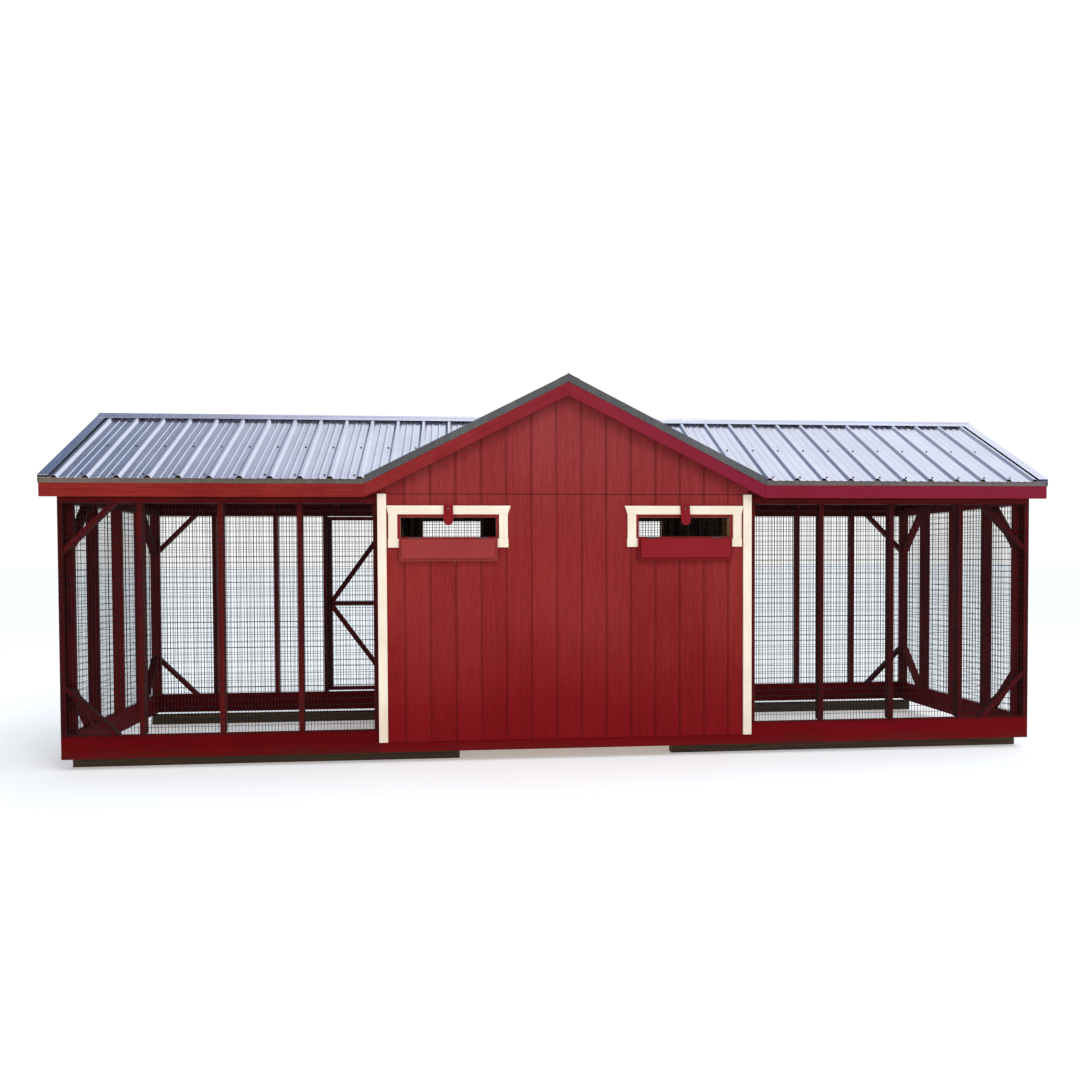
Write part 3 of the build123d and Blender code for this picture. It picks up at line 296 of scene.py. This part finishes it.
print("a Tap answers to + - *, a Paint to", [k for k in vars(Paint) if k[0] != "_"])

# %% [markdown]
# ## Boards with a grain of their own
# The frame of the coop is sawn boards. In the packed model a board is a box with knife
# edges, and all the boards of a group share one set of coordinates, so a grain pattern
# would run straight through from one to the next. Real boards have eased edges that catch
# the light, and each has its own grain along its own length. So each board is copied from
# its node, its edges are rounded by a Bevel modifier, and every corner is given a grain
# coordinate measured along that board.

# %% Separate the solids of a node
CLOSED = 1e-9
CORNER_SEED = 7


def solids_of(node):
    """The solids of a node, each as (corner places, triangles).

    The triangles come solid after solid. Each corner gets two random numbers p and q, and
    an edge from a to b counts p_a q_b - p_b q_a. The neighbouring face walks that edge the
    other way and cancels it, so the running total is zero just where a solid closes."""
    mesh = nodes[node].data
    corners = np.empty(len(mesh.vertices) * 3, np.float32)
    mesh.vertices.foreach_get("co", corners)
    order = np.empty(len(mesh.loops), np.int32)
    mesh.loops.foreach_get("vertex_index", order)
    places, merged = np.unique(corners.reshape(-1, 3), axis=0, return_inverse=True)
    triangles = merged.reshape(-1)[order].reshape(-1, 3)
    p, q = np.random.default_rng(CORNER_SEED).uniform(1, 2, (2, len(places)))
    after = np.roll(triangles, -1, axis=1)
    total = np.cumsum((p[triangles] * q[after] - p[after] * q[triangles]).sum(1))
    ends = np.flatnonzero(np.abs(total) < CLOSED) + 1
    solids = []
    for part in np.split(triangles, ends[:-1]):
        used, local = np.unique(part, return_inverse=True)
        solids.append((places[used].astype(float), local.reshape(-1, 3)))
    return solids


for node in ("base_rails", "rafters"):
    print("solids in", node, len(solids_of(node)))

# %% [markdown]
# A finer piece takes the place of a node: it rides on the same body, so the same joint moves
# it, and it takes the finish it is given. A bevel of a millimetre or two on its edges is
# what planing and handling leave on sawn wood.

# %% Put a mesh in a node's place
FRAME_EASE, TRIM_EASE, PLY_EASE = 0.0022, 0.0016, 0.0010
EASE_STEPS, SHARP = 2, math.radians(30)
body_of = {name: body for body, empty in frame["bodies"].items()
           for name, part in nodes.items() if part.parent is empty}
slot_of = {name: part.data.materials[0].name.split(".")[0] for name, part in nodes.items()}


def stand_in(node, mesh, finish, ease=0.0):
    """Show a mesh in place of a node: on its body, with the given finish, edges eased if
    asked.
    """
    mesh.materials.append(finish)
    piece = bpy.data.objects.new(mesh.name, mesh)
    bpy.context.collection.objects.link(piece)
    if ease:
        bevel = piece.modifiers.new("eased edges", "BEVEL")
        bevel.width, bevel.segments, bevel.angle_limit = ease, EASE_STEPS, SHARP
    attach(piece, body_of[node])
    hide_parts(node)


print("bodies in use", sorted(set(body_of.values())))

# %% [markdown]
# The long direction of a board is the direction in which its corners spread most, the
# first principal axis. Corners measured on the board's three axes, plus a random shift, are
# its grain coordinates. A second number per board, its tone, lets one board be a shade
# darker than the next.

# %% Copy boards with their grain
GRAIN_SEED, GRAIN_SHIFT = 11, 40
COPLANAR = math.radians(0.5)
dice = np.random.default_rng(GRAIN_SEED)


def boards(node, finish, ease=FRAME_EASE):
    """Stand-in for a node of boards: welded, eased, each with grain coordinates."""
    places, faces, grain, tone, start = [], [], [], [], 0
    for corners, triangles in solids_of(node):
        centred = corners - corners.mean(0)
        axes = np.linalg.eigh(np.cov(centred.T))[1][:, ::-1]
        places.append(corners)
        faces.append(triangles + start)
        grain.append(centred @ axes + dice.uniform(-GRAIN_SHIFT, GRAIN_SHIFT, 3))
        tone.append(np.full(len(corners), dice.random()))
        start += len(corners)
    mesh = bpy.data.meshes.new(f"{node}_boards")
    mesh.from_pydata(np.concatenate(places), [], np.concatenate(faces))
    mesh.attributes.new("grain", "FLOAT_VECTOR", "POINT").data.foreach_set(
        "vector", np.concatenate(grain).astype(np.float32).ravel())
    mesh.attributes.new("tone", "FLOAT", "POINT").data.foreach_set(
        "value", np.concatenate(tone).astype(np.float32))
    shell = bmesh.new()
    shell.from_mesh(mesh)
    bmesh.ops.dissolve_limit(shell, angle_limit=COPLANAR, verts=shell.verts,
                             edges=shell.edges)
    shell.to_mesh(mesh)
    shell.free()
    stand_in(node, mesh, finish, ease)


print("boards copy", sorted(set(slot_of.values())))

# %% [markdown]
# ## Red paint on sawn boards
# The frame is softwood under one coat of barn red. The grain shows through as fine ridges
# along each board, the colour is cloudy where the brush or spray went over twice, and the
# sheen is low. The same recipe with other numbers does the base rails, which are darker,
# the fascia, which is lighter and turns a cooler crimson towards the right end as a painted
# reflection, and the flaps, of which the left one is painted paler.

# %% Painted boards
SAWN_RELIEF, SMOOTH_RELIEF = 0.0012, 0.0006
FIBRE_WAVES, PORE_WAVES, KNOT_WAVES = (4, 70, 70), (18, 420, 420), (3, 16, 16)
SPLASH_TOP, SPLASH_FOOT, SPLASHED = 0.3, 0.08, (0.055, 0.030, 0.020)


def painted_boards(name, deep, light, sheen, gloss, relief=SAWN_RELIEF, far_end=None):
    """Colour = deep to light by grain, cloud and the board's own tone; soil near the ground.

    far_end is the colour painted in towards the coop's right end: a painted cool reflection."""
    paint = Paint(name, Specular_IOR_Level=gloss)
    grain, tone, place = paint.attribute("grain", 1), paint.attribute("tone", 2), paint.place()
    fibre = paint.noise(grain, FIBRE_WAVES, 5.0, 0.6, 0.4)
    pore = paint.noise(grain, PORE_WAVES, 2.0)
    cloud = paint.noise(place, (2.2, 2.2, 2.2), 4.0, 0.6)
    share = paint.step(0.45 * fibre + 0.4 * cloud + 0.3 * tone, 0.36, 0.78)
    colour = paint.mix(share, deep, light)
    if far_end:
        # painted cool reflection: towards the coop's right end the colour is drawn to far_end
        turned = paint.step(paint.along(place, 0) + cloud, -2.0, 2.5)
        colour = paint.mix((0.55 + 0.35 * share) * turned, colour, far_end)
    soil = paint.step(paint.along(place, 2) + 0.2 * cloud, SPLASH_TOP, SPLASH_FOOT)
    colour = paint.mix(0.35 * soil, colour, SPLASHED)
    knot = paint.step(paint.noise(grain, KNOT_WAVES, 1.0), 0.74, 0.8)
    colour = paint.mix(0.5 * knot, colour, tuple(0.5 * c for c in deep))
    roughness = sheen + 0.25 * (fibre - 0.5) + 0.12 * soil
    return paint.finish(colour, roughness, 0.6 * fibre + 0.4 * pore, relief)


frame_red = painted_boards("frame_red", (0.050, 0.0015, 0.002), (0.135, 0.007, 0.007),
                           sheen=0.60, gloss=0.06)
rail_red = painted_boards("rail_red", (0.090, 0.0006, 0.0015), (0.150, 0.002, 0.005),
                          sheen=0.60, gloss=0.04)
# far_end paints a cool reflection on the right end of the fascia
fascia_red = painted_boards("fascia_red", (0.185, 0.010, 0.010), (0.290, 0.034, 0.024),
                            sheen=0.60, gloss=0.05, far_end=(0.185, 0.008, 0.034))
# the left flap is painted a paler red than the right one
flap_pale = painted_boards("flap_pale", (0.235, 0.022, 0.021), (0.310, 0.036, 0.033),
                            sheen=0.50, gloss=0.12, relief=SMOOTH_RELIEF)
flap_deep = painted_boards("flap_deep", (0.190, 0.004, 0.008), (0.240, 0.008, 0.013),
                           sheen=0.50, gloss=0.1, relief=SMOOTH_RELIEF)

for node in ("run_posts", "end_studs", "top_plates", "knee_braces", "run_door_frame",
             "run_door_braces", "rafters", "ridge_boards", "purlins"):
    boards(node, frame_red)
boards("base_rails", rail_red)
boards("fascia", fascia_red)
boards("vent_flap_left", flap_pale, TRIM_EASE)
for node in ("vent_flap_right", "turn_button_left", "turn_button_right", "run_door_button",
             "house_door_button", "run_door_pull", "house_door_pull"):
    boards(node, flap_deep, TRIM_EASE)

# %% [markdown]
# ## Grooved siding
# The walls are pressed panels with an upright groove every eight inches and a rough-sawn
# face. Each strip between two grooves is pressed and painted alike from top to bottom, so
# the tone is taken from the number of the strip. Upright streaks of two widths make the
# sawn face, and the grooves are darkened as painted shade. The red is painted paler high
# up and deeper low down as painted light and shade, and a thin shadow marks the level
# joint where the gable panels begin.

# %% Siding finish
GROOVE_PITCH, GROOVE_PHASE, GROOVE_W = 0.2032, 0.513, 0.009
JOINT_HEIGHT, JOINT_EDGE, JOINT_CORE = 2.159, 0.005, 0.002
FOOT_TOP, MIDDLE_TOP, GABLE_TOP = 0.5, 1.9, 3.1
SIDING_RELIEF = 0.0022

siding = Paint("siding_red", Specular_IOR_Level=0.08)
place = siding.place()
across = siding.along(place, 0) + siding.along(place, 1)
height = siding.along(place, 2)
strip = across * (1 / GROOVE_PITCH) - GROOVE_PHASE
number = siding.node("ShaderNodeMath", {"operation": "FLOOR"}, {0: strip})
tone = siding.node("ShaderNodeTexWhiteNoise", {"noise_dimensions": "1D"}, {"W": number})
streak = siding.noise(place, (38, 38, 1.6), 4.0, 0.6, 0.5)
fibre = siding.noise(place, (150, 150, 9), 3.0, 0.6, 0.3)
fleck = siding.noise(place, (300, 300, 60), 2.0)
cloud = siding.noise(place, (1.3, 1.3, 1.3), 4.0)
edge = siding.node("ShaderNodeMath", {"operation": "PINGPONG"}, {0: strip, 1: 0.5})
groove = siding.step(edge, 0.8 * GROOVE_W / GROOVE_PITCH, 0.4 * GROOVE_W / GROOVE_PITCH)
share = siding.step(0.34 * streak + 0.44 * fibre + 0.10 * tone + 0.25 * cloud, 0.38, 0.76)
# painted light and shade: the red is painted deeper near the foot and paler on the gable
foot = siding.mix(share, (0.150, 0.0008, 0.002), (0.205, 0.003, 0.005))
middle = siding.mix(share, (0.205, 0.010, 0.010), (0.275, 0.026, 0.023))
gable = siding.mix(share, (0.225, 0.022, 0.022), (0.295, 0.042, 0.042))
colour = siding.mix(siding.step(height + 0.6 * cloud, FOOT_TOP, MIDDLE_TOP), foot, middle)
colour = siding.mix(siding.step(height + 0.6 * cloud, MIDDLE_TOP, GABLE_TOP), colour, gable)
level = siding.node("ShaderNodeMath", {"operation": "ABSOLUTE"}, {0: height - JOINT_HEIGHT})
joint = siding.step(level, JOINT_EDGE, JOINT_CORE)
# painted shade: the grooves are darkened to stand in for the shade inside them
colour = siding.mix(0.42 * groove, colour, (0.060, 0.002, 0.004))
colour = siding.mix(0.8 * joint, colour, (0.040, 0.002, 0.003))
roughness = 0.5 + 0.3 * (fibre - 0.5) + 0.1 * groove
sawn = 0.5 * streak + 0.35 * fibre + 0.15 * fleck
siding_red = siding.finish(colour, roughness, sawn, SIDING_RELIEF)
coat(("siding_front", "siding_rear", "partition_siding", "gable_siding", "house_door_slab"),
     siding_red)
print("siding nodes", len([n for n in nodes if slot_of[n] == "red_siding"]))

# %% [markdown]
# ## Cream trim
# The corner boards and the frames round the vents are cream, painted before they were
# nailed on. The paint is thick enough to round the grain off, and a little dust has settled
# on it towards the ground.

# %% Trim finish
trim = Paint("trim_cream", Specular_IOR_Level=0.2)
grain, place = trim.attribute("grain", 1), trim.place()
fibre = trim.noise(grain, (4, 60, 60), 4.0, 0.6, 0.3)
cloud = trim.noise(place, (5, 5, 5), 4.0)
colour = trim.mix(trim.step(0.5 * fibre + 0.5 * cloud, 0.35, 0.65), (0.82, 0.68, 0.52),
                  (0.90, 0.79, 0.64))
dust = trim.step(trim.along(place, 2) + 0.3 * cloud, 0.75, 0.15)
colour = trim.mix(0.3 * dust, colour, (0.42, 0.31, 0.22))
roughness = 0.42 + 0.2 * (fibre - 0.5) + 0.1 * dust
trim_cream = trim.finish(colour, roughness, fibre, SMOOTH_RELIEF)
for node in ("corner_trims", "vent_trim", "house_door_boards", "rear_casing"):
    boards(node, trim_cream, TRIM_EASE)
print("cream boards", len([n for n in nodes if slot_of[n] == "cream_trim"]))

# %% [markdown]
# ## Bare timber
# Inside, the studs, joists, door tracks and roosts were never painted. Pine shows early and
# late wood as bands along the board. A board is sawn from a log far wider than itself, so
# its rings are nearly straight there: the distance across the board, bent by noise, read
# through a sine. The skids are the same timber, pressure treated: darker, browner and
# soiled at the bottom.

# %% Bare boards
BARE_RELIEF = 0.0008


def bare_boards(name, early, late, rings, dark):
    """Colour = early to late wood by sin(rings times the distance across, plus a bend)."""
    paint = Paint(name, Specular_IOR_Level=0.3)
    grain, tone, place = paint.attribute("grain", 1), paint.attribute("tone", 2), paint.place()
    bend = paint.noise(grain, (1.2, 6, 6), 3.0)
    fibre = paint.noise(grain, (10, 300, 300), 3.0)
    wave = paint.node("ShaderNodeMath", {"operation": "SINE"},
                      {0: paint.along(grain, 1) * rings + 16.0 * bend})
    share = paint.step(0.5 * wave + 0.35 * fibre, -0.2, 0.75)
    colour = paint.mix(share, early, late)
    colour = paint.mix(0.5 * tone, colour, dark)
    knot = paint.step(paint.noise(grain, (4, 22, 22), 1.0), 0.73, 0.78)
    colour = paint.mix(0.8 * knot, colour, tuple(0.3 * c for c in late))
    soil = paint.step(paint.along(place, 2) + 0.15 * bend, 0.22, 0.06)
    colour = paint.mix(0.5 * soil, colour, (0.040, 0.026, 0.016))
    return paint.finish(colour, 0.7 + 0.2 * (fibre - 0.5), 0.5 * wave + 0.5 * fibre,
                        BARE_RELIEF)


bare_pine = bare_boards("bare_pine", (0.52, 0.34, 0.17), (0.34, 0.18, 0.07),
                        rings=190.0, dark=(0.30, 0.19, 0.10))
treated_pine = bare_boards("treated_pine", (0.080, 0.046, 0.016), (0.038, 0.020, 0.008),
                           rings=150.0, dark=(0.045, 0.030, 0.013))
for node in ("floor_joists", "house_studs", "pop_door_tracks", "roost_bars"):
    boards(node, bare_pine)
boards("skids", treated_pine)
print("bare boards", len([n for n in nodes if slot_of[n] == "bare_timber"]))

# %% [markdown]
# Plywood is peeled from a log like paper from a roll, so its face shows the rings spread
# out into wide cloudy tongues instead of narrow bands.

# %% Plywood
PLY_RELIEF = 0.0005

ply = Paint("plywood", Specular_IOR_Level=0.3)
grain = ply.attribute("grain", 1)
tongue = ply.noise(grain, (1.5, 9, 9), 5.0, 0.6, 1.5)
fibre = ply.noise(grain, (8, 260, 260), 3.0)
wave = ply.node("ShaderNodeMath", {"operation": "SINE"}, {0: 60.0 * tongue})
share = ply.step(0.5 * wave + 0.5 * fibre, -0.3, 0.8)
colour = ply.mix(share, (0.56, 0.37, 0.19), (0.38, 0.21, 0.09))
plywood = ply.finish(colour, 0.68 + 0.2 * (fibre - 0.5), fibre, PLY_RELIEF)
for node in ("house_floor", "pop_door_left", "pop_door_right", "nest_boxes"):
    boards(node, plywood, PLY_EASE)
print("plywood", [n for n in nodes if slot_of[n] == "plywood"])

# %% [markdown]
# ## Ribbed steel roof
# The sheets are coated steel, neither mirror nor paint: a pale blue grey with a soft broad
# shine. Rolled sheet is never quite flat, so a slow wave bends the reflections, and rain
# leaves faint runs down the slope. The slopes of the long roof run along Y, so the runs are
# narrow along X and long along Y.

# %% Coated steel
STEEL_RELIEF = 0.0012


def coated_steel(name, dull, bright, metal, sheen, dust_colour):
    """Colour = dull to bright by slow cloud and rain runs; a slow wave for the relief."""
    paint = Paint(name, Specular_IOR_Level=0.5)
    place = paint.place()
    cloud = paint.noise(place, (1.7, 1.7, 1.7), 4.0)
    runs = paint.noise(place, (34, 2.5, 2.5), 3.0)
    grit = paint.noise(place, (240, 240, 240), 2.0)
    share = paint.step(0.55 * cloud + 0.35 * runs + 0.1 * grit, 0.32, 0.70)
    colour = paint.mix(share, dull, bright)
    dust = paint.step(0.6 * runs + 0.4 * grit, 0.52, 0.72)
    colour = paint.mix(0.15 * dust, colour, dust_colour)
    paint.feed(paint.shader.inputs["Metallic"], metal - 0.2 * dust)
    wave = paint.noise(place, (5, 3, 3), 2.0)
    roughness = sheen + 0.16 * (runs - 0.5) + 0.1 * dust
    return paint.finish(colour, roughness, wave, STEEL_RELIEF)


roof_steel = coated_steel("roof_steel", (0.57, 0.55, 0.65), (0.68, 0.66, 0.77),
                          metal=0.92, sheen=0.22, dust_colour=(0.40, 0.36, 0.33))
trim_grey = coated_steel("trim_grey", (0.080, 0.066, 0.052), (0.130, 0.110, 0.088),
                         metal=0.35, sheen=0.42, dust_colour=(0.26, 0.23, 0.19))
trim_dark = coated_steel("trim_dark", (0.060, 0.058, 0.060), (0.100, 0.097, 0.098),
                         metal=0.35, sheen=0.42, dust_colour=(0.20, 0.18, 0.16))
coat(("roof_sheets_main", "roof_sheets_gable", "valley_flashings", "ridge_caps",
      "end_rake_trims"), roof_steel)
coat(("eave_trims",), trim_grey)
coat(("gable_rake_trims",), trim_dark)
print("steel nodes", len([n for n in nodes if slot_of[n] == "roof_steel"]))

# %% [markdown]
# ## Zinc on the hardware
# Hinges, pins and screws are zinc plated. Zinc cools in flat crystals that each tilt a
# little differently, and a Voronoi pattern has just such cells. Age has dulled it almost
# to the grey of lead.

# %% Zinc
CRYSTALS_PER_METRE, ZINC_RELIEF = 260.0, 0.0002

zinc = Paint("zinc", Specular_IOR_Level=0.5)
place = zinc.place()
crystal = zinc.node("ShaderNodeTexVoronoi", {},
                    {"Vector": place, "Scale": CRYSTALS_PER_METRE}, 1)
glint = zinc.along(crystal, 0)
age = zinc.noise(place, (60, 60, 60), 4.0)
colour = zinc.mix(0.5 * glint + 0.5 * age, (0.050, 0.050, 0.055),
                  (0.150, 0.150, 0.160))
zinc.feed(zinc.shader.inputs["Metallic"], 0.95 - 0.3 * zinc.step(age, 0.55, 0.75))
zinc_plate = zinc.finish(colour, 0.35 + 0.2 * glint, age, ZINC_RELIEF)
coat([n for n in nodes if slot_of[n] == "zinc"], zinc_plate)
print("zinc nodes", [n for n in nodes if slot_of[n] == "zinc"])

# %% [markdown]
# ## Welded wire
# The runs are closed with welded wire under a black vinyl coat: an upright wire every inch
# and a level one every two, the level ones behind. In the packed model each panel is a
# coarse grating that only bars the way, so here it gives way to real wires. A straight
# wire is the simplest sweep there is: a ring of points carried from one end to the other.
# All the wires of a panel are worked out at once as one array.

# %% Wires as one surface
WIRE_SIDES = 6


def wires(starts, ends, outward, radius):
    """Round wires: point = end + radius (cos a outward + sin a sideways), a round the ring.

    starts and ends are arrays of places, outward is square to every wire. Returns corner
    places and faces, six sides and two closed ends a wire."""
    run = ends - starts
    sideways = np.cross(run / np.linalg.norm(run, axis=1, keepdims=True), outward)
    angle = np.arange(WIRE_SIDES) * 2 * math.pi / WIRE_SIDES
    ring = radius * (np.cos(angle)[:, None] * outward
                     + np.sin(angle)[:, None] * sideways[:, None])
    places = np.stack([starts[:, None] + ring, ends[:, None] + ring], axis=1)
    here = np.arange(WIRE_SIDES)
    after = (here + 1) % WIRE_SIDES
    side = np.stack([here, after, after + WIRE_SIDES, here + WIRE_SIDES], axis=1)
    first = np.arange(len(starts))[:, None, None] * 2 * WIRE_SIDES
    caps = np.stack([here[::-1], here + WIRE_SIDES])
    faces = (first + side).reshape(-1, 4).tolist()
    faces += (first + caps).reshape(-1, WIRE_SIDES).tolist()
    return places.reshape(-1, 3), faces


print("a wire has", WIRE_SIDES + 2, "faces")

# %% [markdown]
# A panel stands in a box that is thin one way. Its wires start at the face that is turned to
# the coop's inside: the level ones lie on the posts, and the upright ones are welded to
# their outer side, which the two depths say in wire radii. Real wire is never quite
# straight, so each end is off by up to about a millimetre.

# %% A panel of wires
UPRIGHT_PITCH, LEVEL_PITCH = 0.0254, 0.0508
UPRIGHT_DEPTH, LEVEL_DEPTH = 1.5, 0.4
WIRE_RADIUS, WIRE_SLACK, WIRE_SEED = 0.0021, 0.0012, 5
wire_dice = np.random.default_rng(WIRE_SEED)


def wire_panel(low, high):
    """The upright and level wires of one panel that fills the box from low to high.

    Wire k of a set is at low + (k + 1/2) (high - low) / count, give or take the slack."""
    thin = int(np.argmin(high - low))
    flat = 1 - thin
    out = np.zeros(3)
    out[thin] = math.copysign(1, low[thin] + high[thin])
    back = min(abs(low[thin]), abs(high[thin])) * out[thin]
    sets = []
    for across, lengthways, pitch, depth in ((flat, 2, UPRIGHT_PITCH, UPRIGHT_DEPTH),
                                             (2, flat, LEVEL_PITCH, LEVEL_DEPTH)):
        width = (high - low)[across]
        count = round(width / pitch)
        starts = np.zeros((count, 3))
        starts[:, thin] = back + depth * WIRE_RADIUS * out[thin]
        starts[:, across] = low[across] + (np.arange(count) + 0.5) * width / count
        ends = starts.copy()
        starts[:, lengthways], ends[:, lengthways] = low[lengthways], high[lengthways]
        starts[:, across] += wire_dice.uniform(-WIRE_SLACK, WIRE_SLACK, count)
        ends[:, across] += wire_dice.uniform(-WIRE_SLACK, WIRE_SLACK, count)
        sets.append(wires(starts, ends, out, WIRE_RADIUS))
    return sets


def wire_mesh(node, finish):
    """Stand-in for a node of gratings: real wires in the box of each of its solids."""
    places, faces, start = [], [], 0
    for corners, _ in solids_of(node):
        for points, sides in wire_panel(corners.min(0), corners.max(0)):
            places.append(points)
            faces += [[start + k for k in side] for side in sides]
            start += len(points)
    mesh = bpy.data.meshes.new(f"{node}_wires")
    mesh.from_pydata(np.concatenate(places), [], faces)
    stand_in(node, mesh, finish)
    print(mesh.name, len(faces), "faces")


print("a metre of mesh has", round(1 / UPRIGHT_PITCH), "upright wires and",
      round(1 / LEVEL_PITCH), "level ones")

# %% [markdown]
# The vinyl is a dull black with a low shine, so that the wires read as dark lines against
# the light. Hens, hands and weather have scuffed it a little greyer in patches.

# %% Black vinyl
VINYL_RELIEF = 0.0002

vinyl = Paint("black_vinyl", Specular_IOR_Level=0.12)
place = vinyl.place()
scuff = vinyl.noise(place, (30, 30, 30), 4.0)
colour = vinyl.mix(vinyl.step(scuff, 0.5, 0.75), (0.004, 0.004, 0.005),
                   (0.016, 0.015, 0.015))
black_vinyl = vinyl.finish(colour, 0.42 + 0.3 * (scuff - 0.5), scuff, VINYL_RELIEF)
for node in ("mesh_front", "mesh_rear", "mesh_ends", "run_door_mesh", "hardware_cloth"):
    wire_mesh(node, black_vinyl)

# %% Update the view layer
bpy.context.view_layer.update()
